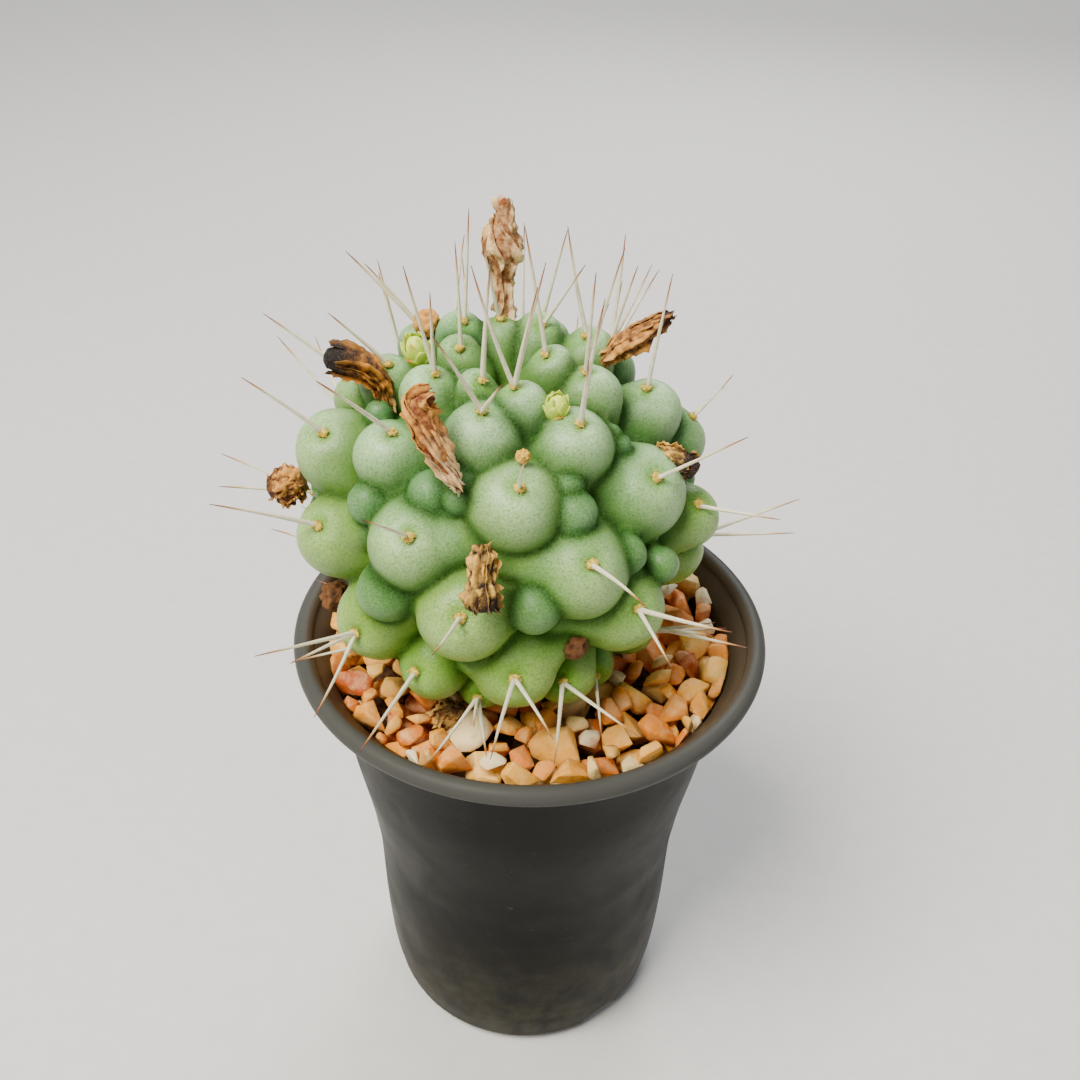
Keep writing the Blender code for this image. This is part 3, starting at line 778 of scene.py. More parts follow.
# "line" holds x, y, z and radius from foot to tip. "pale" and "tip" are the shares of the length that have
# the foot's and the tip's colour, "flare" and "fray" how far petals stand off there, "flat" the squash.
flowers = {
    "driedFlowerCrown": {
        "replaces": "dried_flower_crown",
        "line": [(-3.9, 7.9, 114.6, 1.4), (-4.0, 8.5, 116.4, 0.75), (-4.1, 9.2, 118.6, 0.65),
                 (-4.1, 9.8, 120.6, 1.4), (-4.2, 10.2, 122.8, 2.4), (-4.2, 10.5, 124.9, 1.8),
                 (-4.1, 10.7, 127.2, 0.95), (-4.1, 10.8, 129.0, 0.7)],
        "petals": 7, "tip": 0.0, "flat": 0.85, "flare": (-0.2, 0.2),
        "crumple": 0.7, "fray": 0.0, "pale": 0.22, "look": "tan",
    },
    "driedFlowerRight": {
        "replaces": "dried_flower_right",
        "line": [(7.7, 2.0, 111.8, 0.9), (9.4, 2.6, 113.2, 1.3), (11.6, 3.0, 114.6, 1.9),
                 (13.8, 3.6, 116.0, 1.6), (15.4, 4.2, 117.0, 1.0), (16.5, 4.6, 117.6, 0.5)],
        "petals": 8, "tip": 0.45, "flat": 0.8, "flare": (-0.1, 0.5),
        "crumple": 0.9, "fray": 0.2, "pale": 0.2, "look": "brown",
    },
    "driedFlowerLeft": {
        "replaces": "dried_flower_left",
        "line": [(-17.2, -2.8, 107.2, 0.7), (-17.6, -2.7, 109.2, 0.9), (-18.4, -2.6, 111.2, 1.3),
                 (-20.2, -2.5, 113.0, 1.75), (-22.6, -2.6, 113.9, 1.75), (-24.8, -2.8, 114.2, 1.2)],
        "petals": 8, "tip": 0.42, "flat": 0.85, "flare": (0.2, 1.1),
        "crumple": 0.9, "fray": 0.2, "pale": 0.3, "look": "dark",
    },
    "driedFlowerFront": {
        "replaces": "dried_flower_front",
        "line": [(-7.4, -19.4, 107.0, 0.25), (-8.3, -19.5, 108.8, 0.8), (-9.6, -19.2, 110.9, 1.2),
                 (-10.9, -18.3, 113.0, 1.55), (-11.9, -17.1, 114.8, 1.5), (-11.8, -16.3, 116.0, 1.15),
                 (-10.4, -15.9, 116.6, 0.6)],
        "petals": 8, "tip": 0.12, "flat": 0.8, "flare": (0.0, 0.8),
        "crumple": 0.85, "fray": 0.9, "pale": 0.55, "look": "rust",
    },
    "driedFlowerBelly": {
        "replaces": "dried_flower_belly",
        "line": [(-4.9, -22.8, 102.4, 0.6), (-4.9, -24.6, 101.5, 1.1), (-4.9, -26.2, 100.2, 1.15),
                 (-4.8, -27.6, 98.8, 1.45), (-4.7, -28.6, 97.5, 1.1)],
        "petals": 9, "tip": 0.35, "flat": 0.9, "flare": (0.2, 1.0),
        "crumple": 1.35, "fray": 0.0, "pale": 0.1, "look": "burnt",
    },
    "driedFlowerSide": {
        "replaces": "dried_flower_side",
        "line": [(14.6, -7.0, 105.0, 0.8), (16.3, -7.4, 104.8, 1.3), (18.0, -8.2, 104.3, 1.6),
                 (19.6, -9.0, 103.5, 1.1)],
        "petals": 7, "tip": 0.6, "flat": 0.9, "flare": (0.0, 0.5),
        "crumple": 1.2, "fray": 0.2, "pale": 0.1, "look": "burnt",
    },
    "driedFruitLeft": {
        "replaces": "dried_fruit_left",
        "line": [(-28.9, -2.4, 96.6, 1.2), (-30.0, -2.4, 96.3, 2.0), (-31.2, -2.4, 96.0, 2.4),
                 (-32.5, -2.4, 95.6, 2.0), (-33.6, -2.4, 95.2, 1.1)],
        "petals": 9, "tip": 0.3, "flat": 1.0, "flare": (-0.4, 0.2),
        "crumple": 1.5, "fray": 0.1, "pale": 0.1, "look": "brown",
    },
    "fallenFruit": {
        "replaces": "fallen_fruit",
        "line": [(-10.9, -16.6, 69.2, 1.2), (-10.3, -17.2, 70.1, 1.9), (-9.8, -17.6, 70.9, 2.1),
                 (-9.3, -18.0, 71.6, 1.6), (-8.9, -18.4, 72.2, 0.8)],
        "petals": 9, "tip": 0.0, "flat": 0.9, "flare": (-0.4, 0.1),
        "crumple": 1.4, "fray": 0.1, "pale": 0.1, "look": "straw",
    },
}
# fold, ridge, foot and tip of each look; fold is dark as painted shade in the folds, ridge pale as painted
# highlight on the ridges
flowerTones = {
    "tan": ("#8a4416", "#fad69a", "#f9e4b4", "#94522a"),
    "rust": ("#642406", "#e6a24a", "#fff0c0", "#5c220a"),
    "brown": ("#4a1e06", "#e6a24c", "#eabc76", "#3a1206"),
    "dark": ("#301002", "#d48a28", "#f0c478", "#120603"),
    "burnt": ("#200b02", "#eab656", "#c08a40", "#240e04"),
    "straw": ("#4e2606", "#eaba60", "#ddb064", "#2c1204"),
    "gold": ("#6a3a04", "#efc04c", "#efc04c", "#6a3a04"),
    "ember": ("#170803", "#7a4c24", "#7a4c24", "#170803"),
}


# Withered petals: papery and matt, ridges lighter with painted highlight, folds darker with painted shade,
# fine fibres along them
def driedPetal(look):
    made, tree, shader, where = newMaterial("driedPetal_" + look, 0.78, 1.45)
    fold, paleRidgeAndHighlight, foot, tip = [srgb(code) for code in flowerTones[look]]
    tones = addNode(tree, "ShaderNodeAttribute", attribute_name="crumple")
    height, tipward, footward = addNode(tree, "ShaderNodeSeparateColor", {0: tones}).outputs
    blotch = addNode(tree, "ShaderNodeTexNoise", {
        "Vector": where, "Scale": 1 / (0.9 * mm), "Detail": 4.0, "Roughness": 0.65})
    blotched = addNode(tree, "ShaderNodeMapRange", {0: blotch, 1: 0.3, 2: 0.7, 3: -0.42, 4: 0.38})
    # raised parts take the ridge colour as painted highlight and low folds the fold colour as painted shade;
    # the blotches vary it
    raised = addNode(tree, "ShaderNodeMath", {0: height, 1: blotched}, operation="ADD", use_clamp=True)
    fibres = addNode(tree, "ShaderNodeTexNoise", {
        "Vector": where, "Scale": 1 / (0.22 * mm), "Detail": 4.0, "Roughness": 0.7})
    colour = layered(
        tree, fold,
        (raised, (0, 1), (0, 1), paleRidgeAndHighlight),
        (footward, (0, 1), (0, 0.7), foot),
        (tipward, (0, 1), (0, 1), tip),
        (fibres, (0.58, 0.75), (0, 0.4), srgb("#e2c795")))
    tree.links.new(colour, shader.inputs["Base Color"])
    addNode(tree, "ShaderNodeBump", {"Height": fibres, "Distance": 0.18 * mm, "Strength": 1.0},
            into=shader.inputs["Normal"])
    return made


# Noise folded into sharp ridges.
def ridged(point, size, seed):
    return 1 - 2 * abs(noise.noise(point / size + Vector((seed * 5.1, seed * 2.3, seed * 0.7))))


# Evenly spaced points, with radius, on a smooth curve through the given ones.
def smoothLine(line, count):
    keys = np.array(line, float)
    made = []
    for step in range(count):
        t = step / (count - 1) * (len(keys) - 1)
        i = min(int(t), len(keys) - 2)
        u = t - i
        before, a, b, after = keys[max(i - 1, 0)], keys[i], keys[i + 1], keys[min(i + 2, len(keys) - 1)]
        made.append(0.5 * ((2 * a) + (b - before) * u + (2 * before - 5 * a + 4 * b - after) * u ** 2
                           + (3 * a - before - 3 * b + after) * u ** 3))
    return made


# Two layers of points, row by row, joined round their rim into one closed sheet.
def addSheet(faces, base, rows, cols):
    layer = rows * cols
    for r in range(rows - 1):
        for c in range(cols - 1):
            corner = base + r * cols + c
            under = corner + layer
            faces.append((corner, corner + 1, corner + cols + 1, corner + cols))
            faces.append((under, under + cols, under + cols + 1, under + 1))
    rim = [r * cols for r in range(rows)] + [(rows - 1) * cols + c for c in range(1, cols)]
    rim += [r * cols + cols - 1 for r in range(rows - 2, -1, -1)] + list(range(cols - 2, 0, -1))
    for here, there in zip(rim, rim[1:] + rim[:1]):
        faces.append((base + here, base + there, base + there + layer, base + here + layer))


# A turn for each point of a path, its third axis along the path.
def framesAlong(path):
    made = []
    for i in range(len(path)):
        ahead = Vector(path[min(i + 1, len(path) - 1)][:3]) - Vector(path[max(i - 1, 0)][:3])
        made.append(ahead.to_track_quat("Z", "Y").to_matrix())
    return made


def within(value):
    return min(max(value, 0), 1)


# A withered flower: a shrunken core wrapped in crumpled petals that have dried along its length.
def buildFlower(name, spec, seed):
    draw = random.Random(seed)
    path = smoothLine(spec["line"], petal["rings"])
    grown = {
        "path": path, "frames": framesAlong(path), "points": [], "faces": [], "tones": [],
        "length": sum((Vector(b[:3]) - Vector(a[:3])).length for a, b in zip(path, path[1:])),
    }
    addCore(grown, spec, seed)
    for number in range(spec["petals"]):
        addPetal(grown, spec, draw, 2 * math.pi * number / spec["petals"])
    flower = meshObject(name, grown["points"], grown["faces"], driedPetal(spec["look"]))
    storeColour(flower.data, "crumple", grown["tones"])
    tidyNormals(flower)
    return flower


# How much of the tip's colour shows this far along.
def tipTone(t, spec):
    return within((t - 1 + spec["tip"]) / 0.25) if spec["tip"] else 0.0


# The shrunken, furrowed core, closed at both ends.
def addCore(grown, spec, seed):
    points, faces, path = grown["points"], grown["faces"], grown["path"]
    rings, sides = len(path), petal["coreSides"]
    for i, key in enumerate(path):
        t = i / (rings - 1)
        middle, radius = Vector(key[:3]), key[3] * petal["coreShare"]
        closing = min(1.0, 0.35 + t * 12, 0.35 + (1 - t) * 12)
        for j in range(sides):
            angle = 2 * math.pi * j / sides
            spoke = grown["frames"][i] @ Vector((math.cos(angle), math.sin(angle) * spec["flat"], 0))
            place = middle + spoke * radius
            fold = ridged(Vector((3.2 * math.cos(angle), 3.2 * math.sin(angle), t * 2.2)), 1.0, seed)
            rough = 0.16 * fold + 0.16 * ridged(place, 0.9, seed + 9)
            points.append(middle + spoke * radius * (1 + rough) * closing)
            # the furrows get painted shade, the raised parts painted highlight
            grown["tones"].append((within(0.15 + 0.5 * rough), tipTone(t, spec), 0, 1))
    for i in range(rings - 1):
        for j in range(sides):
            here, after = i * sides + j, i * sides + (j + 1) % sides
            faces.append((here, after, after + sides, here + sides))
    faces.append(tuple(reversed(range(sides))))
    faces.append(tuple(range((rings - 1) * sides, rings * sides)))


# One petal as a thin closed sheet that starts near the foot and clings to the core.
def addPetal(grown, spec, draw, angle):
    path, crumple = grown["path"], spec["crumple"]
    rows, cols = petal["rows"], petal["cols"]
    start, end = draw.uniform(0.0, 0.12), draw.uniform(0.80, 1.0)
    twist = draw.uniform(-0.9, 0.9)
    half = math.pi / spec["petals"] * draw.uniform(1.1, 1.7)
    flare = draw.uniform(*spec["flare"])
    edge, fray = draw.uniform(0.35, 0.95), draw.uniform(0.0, 1.0) * spec["fray"]
    shift = Vector((draw.uniform(0, 50), draw.uniform(0, 50), draw.uniform(0, 50)))
    outer, inner, tones = [], [], []
    for r in range(rows):
        u = r / (rows - 1)
        t = start + (end - start) * u
        i = min(int(t * (len(path) - 1)), len(path) - 1)
        frame = grown["frames"][i]
        middle, radius = Vector(path[i][:3]), path[i][3]
        narrow = min(1.0, 0.35 + 5 * u) * (1 - 0.55 * u ** 5)
        for c in range(cols):
            side = 2 * c / (cols - 1) - 1
            around = angle + twist * u + side * half * narrow
            out = frame @ Vector((math.cos(around), math.sin(around) * spec["flat"], 0))
            place = middle + out * radius
            pleat = 0.5 * math.sin(side * 5.5 + shift.x) * petal["pleat"]
            # long waves run with the petal, short ones crumple it
            long = Vector((around * radius / 0.55, t * grown["length"] / 2.2, 0)) + shift
            wave = noise.noise(long) * petal["wave"] * (1.0 + 0.2 * crumple)
            wave += noise.noise(place / 0.9 + shift) * petal["wave"] * crumple * 0.75
            wave += noise.noise(place / 0.4 + shift) * petal["grain"] * crumple
            # one edge curls off the flower; the tip flares and the foot frays
            lift = edge * max(0, side - 0.1) ** 1.4 - 0.25 * max(0, -side)
            lift += flare * u ** 4 + fray * (1 - u) ** 5
            ragged = noise.noise(Vector((side * 3, 0, 0)) + shift) * 0.9 * u ** 6
            spot = middle + out * (radius * 0.90 + pleat + wave + lift) + frame @ Vector((0, 0, ragged))
            outer.append(spot)
            inner.append(spot - out * petal["thickness"])
            # what stands out gets painted highlight, the folds painted shade, which also lightens the dark
            # tip on the ridges
            raised = within(0.34 + 1.7 * (pleat + wave) + 0.4 * lift)
            tones.append((raised, tipTone(t, spec) * (1 - 0.45 * raised), max(0, 1 - t / spec["pale"]), 1))
    addSheet(grown["faces"], len(grown["points"]), rows, cols)
    grown["points"].extend(outer + inner)
    grown["tones"].extend(tones + tones)


# crumbs of older flowers caught between tubercles: place, radius, look
bits = {
    "crumbCavity": (Vector((5.6, -21.2, 86.7)), 1.3, "ember"),
    "crumbTuft": (Vector((-0.9, -16.6, 109.9)), 0.62, "gold"),
    "crumbBehindBud": (Vector((-13.4, 5.6, 115.0)), 1.3, "brown"),
    "crumbRim": (Vector((-25.4, -7.6, 82.0)), 1.5, "ember"),
    "crumbBead": (Vector((-20.2, -13.6, 101.4)), 0.5, "straw"),
}


def buildBit(name, place, size, look, seed):
    unit, faces = unitBall(4)
    points, tones = [], []
    for row in unit:
        spoke = Vector(row)
        rough = 0.34 * ridged(spoke, 0.8, seed) + 0.24 * ridged(spoke, 0.35, seed + 3)
        points.append(place + spoke * size * (0.95 + rough))
        # raised lumps get painted highlight, hollows painted shade
        tones.append((within(0.3 + rough * 1.5), 0, 0, 1))
    bit = meshObject(name, points, faces, driedPetal(look))
    storeColour(bit.data, "crumple", tones)
    return bit


buds = {
    "budLeft": {
        "replaces": "flower_bud_left",
        "place": Vector((-14.2, 0.4, 113.9)), "half": (1.6, 2.3), "up": (-30, 70),
    },
    "budFront": {
        "replaces": "flower_bud_front",
        "place": Vector((2.7, -10.4, 112.6)), "half": (1.35, 2.0), "up": (10, 72),
    },
}
scaleShape = {"count": 15, "rows": 7, "cols": 5, "thickness": 0.12, "turn": 137.5, "rusty": 0.25}


# Young bud scales: tender, slightly translucent, lemon green with a rusty point on the eldest
def budScale():
    made, tree, shader, where = newMaterial("budScale_tender", 0.5, 1.42)
    tones = addNode(tree, "ShaderNodeAttribute", attribute_name="scale")
    along, rust, _ = addNode(tree, "ShaderNodeSeparateColor", {0: tones}).outputs
    veins = addNode(tree, "ShaderNodeTexNoise", {
        "Vector": where, "Scale": 1 / (0.5 * mm), "Detail": 3.0, "Roughness": 0.55})
    colour = layered(
        tree, srgb("#98cc10"),
        (along, (0, 1), (0, 1), srgb("#dcf058")),
        (veins, (0.45, 0.7), (0, 0.3), srgb("#f4f8b4")),
        (rust, (0, 1), (0, 1), srgb("#b0602c")))
    tree.links.new(colour, shader.inputs["Base Color"])
    shader.inputs["Subsurface Weight"].default_value = 0.25
    shader.inputs["Subsurface Radius"].default_value = (0.8, 1.0, 0.3)
    shader.inputs["Subsurface Scale"].default_value = 0.8 * mm
    addNode(tree, "ShaderNodeBump", {"Height": veins, "Distance": 0.05 * mm, "Strength": 0.5},
            into=shader.inputs["Normal"])
    return made


# A closed bud: a smooth heart with pointed scales laid round it in a spiral, the lowest first.
def buildBud(name, spec, material, seed):
    draw = random.Random(seed)
    turn = direction(*spec["up"]).to_track_quat("Z", "Y").to_matrix()
    wide, tall = spec["half"]
    unit, unitFaces = unitBall(3)
    heart = unit * np.array((wide * 0.86, wide * 0.86, tall * 0.88))
    points = [spec["place"] + turn @ Vector(point) for point in heart]
    tones = [(0.9, 0, 0, 1)] * len(points)
    faces = list(map(tuple, unitFaces))

    def addScale(azimuth, low, high, width, swell, rust):
        rows, cols = scaleShape["rows"], scaleShape["cols"]
        addSheet(faces, len(points), rows, cols)
        for inset in (0, scaleShape["thickness"] / wide):
            for r in range(rows):
                t = r / (rows - 1)
                latitude = math.radians(low + (high - low) * t)
                spread = width * math.sin(math.pi * (0.18 + 0.80 * t) ** 0.9) ** 0.8
                for c in range(cols):
                    side = 2 * c / (cols - 1) - 1
                    longitude = math.radians(azimuth + side * spread)
                    size = swell + 0.05 * (1 - side ** 2) + 0.16 * max(0, t - 0.7) / 0.3 - inset
                    spot = Vector((math.cos(latitude) * math.cos(longitude) * wide * size,
                                   math.cos(latitude) * math.sin(longitude) * wide * size,
                                   math.sin(latitude) * tall * size))
                    points.append(spec["place"] + turn @ spot)
                    tones.append((t * 0.9, rust * max(0, (t - 0.72) / 0.28), 0, 1))

    for number in range(scaleShape["count"]):
        level = number / (scaleShape["count"] - 1)
        rust = 1.0 if draw.random() < scaleShape["rusty"] else 0.15
        addScale(scaleShape["turn"] * number, -70 + 70 * level, -5 + 80 * level, 46 - 14 * level,
                 1.12 - 0.14 * level, rust)
    bud = meshObject(name, points, faces, material)
    storeColour(bud.data, "scale", tones)
    tidyNormals(bud)
    return bud


def tidyNormals(obj):
    shape = bmesh.new()
    shape.from_mesh(obj.data)
    bmesh.ops.recalc_face_normals(shape, faces=shape.faces)
    shape.to_mesh(obj.data)
    shape.free()


# millimetres; "side" runs up the outer wall as radius and height
potShape = {
    "height": 73.0, "rimRadius": 33.0, "bead": 1.3, "wall": 0.8, "floor": 1.2, "foot": 22.2, "corner": 3.0,
    "side": [(22.9, 8.0), (23.4, 18.0), (23.6, 31.0), (24.1, 37.0), (24.8, 43.0), (26.4, 53.0), (27.4, 61.0),
             (28.2, 66.0), (29.2, 69.4)],
    "segments": 144, "notches": (36, 156, 276), "notchRadius": 4.2,
    "ovalFrom": 45.0, "oval": 0.006, "threeSided": 0.003,  # how far the thin rim is out of round
    "rimReflectionBand": (69.8, 70.8), "limeGone": (1.0, 30.0),  # heights
}


gravel = {
    "variants": 9, "count": 260, "radius": (2.7, 4.3), "chips": 150, "chipRadius": (1.5, 2.4),
    "inner": 12.6, "outer": 29.8, "floor": 64.6, "top": 72.0, "seed": 12,
    "fit": 0.80,  # radius of the ball that stands for a stone while it is poured, as a share of the stone's
    "tries": 60, "tone": (0.54, 0.28), "worn": 0.15,
    "tones": [(0.0, "#ae4a02"), (0.14, "#d46c04"), (0.34, "#e8860a"), (0.55, "#f2a424"), (0.75, "#f6c050"),
              (0.88, "#f6d98c"), (1.0, "#f8ecc4")],
}


# Broken quartz-like stone: orange to peach and cream, dry and matt, with faint banding and dusty pits
def gravelStone():
    made, tree, shader, where = newMaterial("gravel_brokenStone", 0.62, 1.52)
    tones = addNode(tree, "ShaderNodeAttribute", attribute_name="tone")
    ramp = addNode(tree, "ShaderNodeValToRGB", {0: tones.outputs["Fac"]})
    setStops(ramp, gravel["tones"])
    cloud = addNode(tree, "ShaderNodeTexNoise", {
        "Vector": where, "Scale": 1 / (2.6 * mm), "Detail": 3.0, "Roughness": 0.6, "Distortion": 0.8})
    rust = addNode(tree, "ShaderNodeTexNoise", {
        "Vector": where, "Scale": 1 / (1.3 * mm), "Detail": 4.0, "Roughness": 0.65})
    grain = addNode(tree, "ShaderNodeTexNoise", {
        "Vector": where, "Scale": 1 / (0.28 * mm), "Detail": 3.0, "Roughness": 0.6})
    pits = addNode(tree, "ShaderNodeTexNoise", {
        "Vector": where, "Scale": 1 / (0.8 * mm), "Detail": 4.0, "Roughness": 0.6})
    colour = layered(
        tree, ramp,
        (cloud, (0.42, 0.70), (0, 0.55), srgb("#f6d391")),
        (rust, (0.55, 0.75), (0, 0.5), srgb("#b85606")),
        (grain, (0.3, 0.7), (0, 0.12), srgb("#9a4a0c")))
    tree.links.new(colour, shader.inputs["Base Color"])
    shader.inputs["Subsurface Weight"].default_value = 0.08
    shader.inputs["Subsurface Radius"].default_value = (1.0, 0.6, 0.3)
    shader.inputs["Subsurface Scale"].default_value = 0.8 * mm
    addNode(tree, "ShaderNodeBump", {"Height": pits, "Distance": 0.22 * mm, "Strength": 0.7},
            into=shader.inputs["Normal"])
    return made


# A unit stone: the hull of a few points, its edges worn and its faces slightly uneven.
def stoneBlank(number, draw):
    shape = bmesh.new()
    squash = Vector((1.0, draw.uniform(0.7, 0.95), draw.uniform(0.55, 0.8)))
    for _ in range(draw.randint(10, 14)):
        outward = Vector((draw.gauss(0, 1), draw.gauss(0, 1), draw.gauss(0, 1))).normalized()
        shape.verts.new(Vector(a * b for a, b in zip(outward, squash)))
    hull = bmesh.ops.convex_hull(shape, input=shape.verts)
    inside = [part for part in hull["geom_interior"] if isinstance(part, bmesh.types.BMVert)]
    bmesh.ops.delete(shape, geom=inside, context="VERTS")
    bmesh.ops.dissolve_limit(shape, angle_limit=math.radians(14), verts=shape.verts, edges=shape.edges)
    bmesh.ops.bevel(shape, geom=shape.edges[:] + shape.verts[:], offset=gravel["worn"], segments=1,
                    profile=0.5, affect="EDGES", clamp_overlap=True)
    for vert in shape.verts:
        vert.co *= 1 + 0.05 * noise.noise(vert.co * 2.4 + Vector((number * 3.1, 0, 0)))
    mesh = bpy.data.meshes.new(f"stoneBlank{number}")
    shape.to_mesh(mesh)
    shape.free()
    mesh.shade_smooth()
    return bpy.data.objects.new(f"stoneBlank{number}", mesh)


# Drops balls one by one into the ring between neck and pot wall; each takes the lowest free place it tries.
def pourStones():
    draw = random.Random(gravel["seed"])
    neck = Vector((globe["centre"].x, globe["centre"].y))
    swellings = allSwellings()
    sizes = [draw.uniform(*gravel["radius"]) for _ in range(gravel["count"])]
    sizes += [draw.uniform(*gravel["chipRadius"]) for _ in range(gravel["chips"])]
    laid = []
    for size in sizes:
        radius = size * gravel["fit"]
        best = None
        for _ in range(gravel["tries"]):
            angle = draw.uniform(0, 2 * math.pi)
            out = math.sqrt(draw.uniform(gravel["inner"] ** 2, (gravel["outer"] - radius) ** 2))
            spot = Vector((out * math.cos(angle), out * math.sin(angle)))
            if (spot - neck).length < gravel["inner"] + radius * 0.7:
                continue
            height = gravel["floor"] + radius * 0.7
            for otherSpot, otherHeight, otherRadius in laid:
                flat = (otherSpot - spot).length
                touch = (otherRadius + radius) * 0.86
                if flat < touch:
                    height = max(height, otherHeight + math.sqrt(touch ** 2 - flat ** 2))
            place = Vector((spot.x, spot.y, height))
            blocked = any((place - middle).length < reach + radius * 0.75 for _, middle, reach in swellings)
            if blocked or height + radius * 0.75 > gravel["top"]:
                continue
            if best is None or height < best[1]:
                best = (spot, height, radius)
        if best:
            laid.append(best)
    print("stones laid", len(laid))
    return laid


# Points that carry turn, size and kind become stones.
def stoneTree(material):
    tree = bpy.data.node_groups.new("stoneTree", "GeometryNodeTree")
    face = tree.interface
    face.new_socket("Geometry", in_out="INPUT", socket_type="NodeSocketGeometry")
    face.new_socket("Stones", in_out="INPUT", socket_type="NodeSocketCollection")
    face.new_socket("Geometry", in_out="OUTPUT", socket_type="NodeSocketGeometry")
    given = addNode(tree, "NodeGroupInput")
    kinds = addNode(tree, "GeometryNodeCollectionInfo", {
        "Collection": given.outputs["Stones"], "Separate Children": True, "Reset Children": True})
    turn, size, kind = [
        addNode(tree, "GeometryNodeInputNamedAttribute", {"Name": name}, data_type=held)
        for name, held in (("turn", "FLOAT_VECTOR"), ("size", "FLOAT_VECTOR"), ("kind", "INT"))]
    turned = addNode(tree, "FunctionNodeEulerToRotation", {"Euler": turn})
    placed = addNode(tree, "GeometryNodeInstanceOnPoints", {
        "Points": given.outputs["Geometry"], "Instance": kinds, "Pick Instance": True,
        "Instance Index": kind, "Rotation": turned, "Scale": size})
    real = addNode(tree, "GeometryNodeRealizeInstances", {"Geometry": placed})
    dressed = addNode(tree, "GeometryNodeSetMaterial", {"Geometry": real, "Material": material})
    addNode(tree, "NodeGroupOutput", {"Geometry": dressed})
    return tree


# Stones of a few shapes, poured, turned and toned at random.
def buildGravel():
    draw = random.Random(31)
    blanks = bpy.data.collections.new("stoneBlanks")
    for number in range(gravel["variants"]):
        blanks.objects.link(stoneBlank(number, draw))
    laid = pourStones()
    mesh = bpy.data.meshes.new("gravelPoints")
    mesh.from_pydata([(spot.x * mm, spot.y * mm, height * mm) for spot, height, _ in laid], [], [])
    turns, sizes, kinds, tones = [], [], [], []
    for _, _, radius in laid:
        turns += [draw.uniform(-0.9, 0.9), draw.uniform(-0.9, 0.9), draw.uniform(0, 6.28)]
        size = radius / gravel["fit"] * mm
        sizes += [size * draw.uniform(0.95, 1.2), size, size * draw.uniform(0.9, 1.1)]
        kinds.append(draw.randrange(gravel["variants"]))
        tones.append(within(draw.gauss(*gravel["tone"])))
    mesh.attributes.new("turn", "FLOAT_VECTOR", "POINT").data.foreach_set("vector", turns)
    mesh.attributes.new("size", "FLOAT_VECTOR", "POINT").data.foreach_set("vector", sizes)
    mesh.attributes.new("kind", "INT", "POINT").data.foreach_set("value", kinds)
    mesh.attributes.new("tone", "FLOAT", "POINT").data.foreach_set("value", tones)
    source = linked(bpy.data.objects.new("gravelPoints", mesh))
    useTree(source, stoneTree(gravelStone()), {"Stones": blanks})
    stones = baked("gravel", source)
    # corners that would stand through the pot are pushed back to its wall
    points = meshPoints(stones.data)
    heights = [z for _, z in potShape["side"]]
    wall = np.interp(points[:, 2], heights, [r - potShape["wall"] for r, _ in potShape["side"]])
    away = np.hypot(points[:, 0], points[:, 1])
    points[:, :2] *= np.minimum(1, (wall - 0.1) / away)[:, None]
    stones.data.vertices.foreach_set("co", (points * mm).astype(np.float32).ravel())
    stones.data.update()
    return stones


# Thin injection-moulded polypropylene, near-black: satin, scuffed, the rolled rim painted pale as a
# reflection, lime marks low down
def potPlastic():
    made, tree, shader, where = newMaterial("polypropylene_moulded", 0.42, 1.49)
    height = addNode(tree, "ShaderNodeSeparateXYZ", {0: where}).outputs["Z"]
    inside = addNode(tree, "ShaderNodeAttribute", attribute_name="inside").outputs["Fac"]
    cloud = addNode(tree, "ShaderNodeTexNoise", {
        "Vector": where, "Scale": 1 / (9.0 * mm), "Detail": 5.0, "Roughness": 0.6, "Distortion": 0.4})
    scuffs = addNode(tree, "ShaderNodeTexNoise", {
        "Vector": where, "Scale": 1 / (1.1 * mm), "Detail": 5.0, "Roughness": 0.7, "Distortion": 1.2})
    lime = addNode(tree, "ShaderNodeTexNoise", {
        "Vector": where, "Scale": 1 / (5.0 * mm), "Detail": 6.0, "Roughness": 0.6, "Distortion": 0.2})
    limy = addNode(tree, "ShaderNodeMapRange", {0: lime, 1: 0.36, 2: 0.74})
    bottom, gone = potShape["limeGone"]
    low = addNode(tree, "ShaderNodeMapRange", {0: height, 1: bottom * mm, 2: gone * mm, 3: 1.0, 4: 0.0})
    stain = addNode(tree, "ShaderNodeMath", {0: limy, 1: low}, operation="MULTIPLY", use_clamp=True)
    colour = layered(
        tree, srgb("#080807"),
        (cloud, (0.3, 0.7), (0, 1), srgb("#0f0f0d")),
        # the rolled rim painted pale: painted reflection
        (height, [z * mm for z in potShape["rimReflectionBand"]], (0, 1), srgb("#474744")),
        (inside, (0, 1), (0, 0.8), srgb("#4d4030")),
        (scuffs, (0.62, 0.75), (0, 0.25), srgb("#5c594f")),
        (stain, (0, 1), (0.02, 0.6), srgb("#57533e")))
    tree.links.new(colour, shader.inputs["Base Color"])
    shader.inputs["Specular IOR Level"].default_value = 0.09
    addNode(tree, "ShaderNodeMapRange", {0: cloud, 1: 0.3, 2: 0.7, 3: 0.38, 4: 0.52},
            into=shader.inputs["Roughness"])
    pebbling = addNode(tree, "ShaderNodeTexNoise", {
        "Vector": where, "Scale": 1 / (0.5 * mm), "Detail": 3.0, "Roughness": 0.55})
    addNode(tree, "ShaderNodeBump", {"Height": pebbling, "Distance": 0.03 * mm, "Strength": 0.5},
            into=shader.inputs["Normal"])
    return made


def arcPoints(centre, radius, start, end, steps):
    angles = [math.radians(start + (end - start) * step / steps) for step in range(steps + 1)]
    return [(centre[0] + radius * math.cos(a), centre[1] + radius * math.sin(a)) for a in angles]


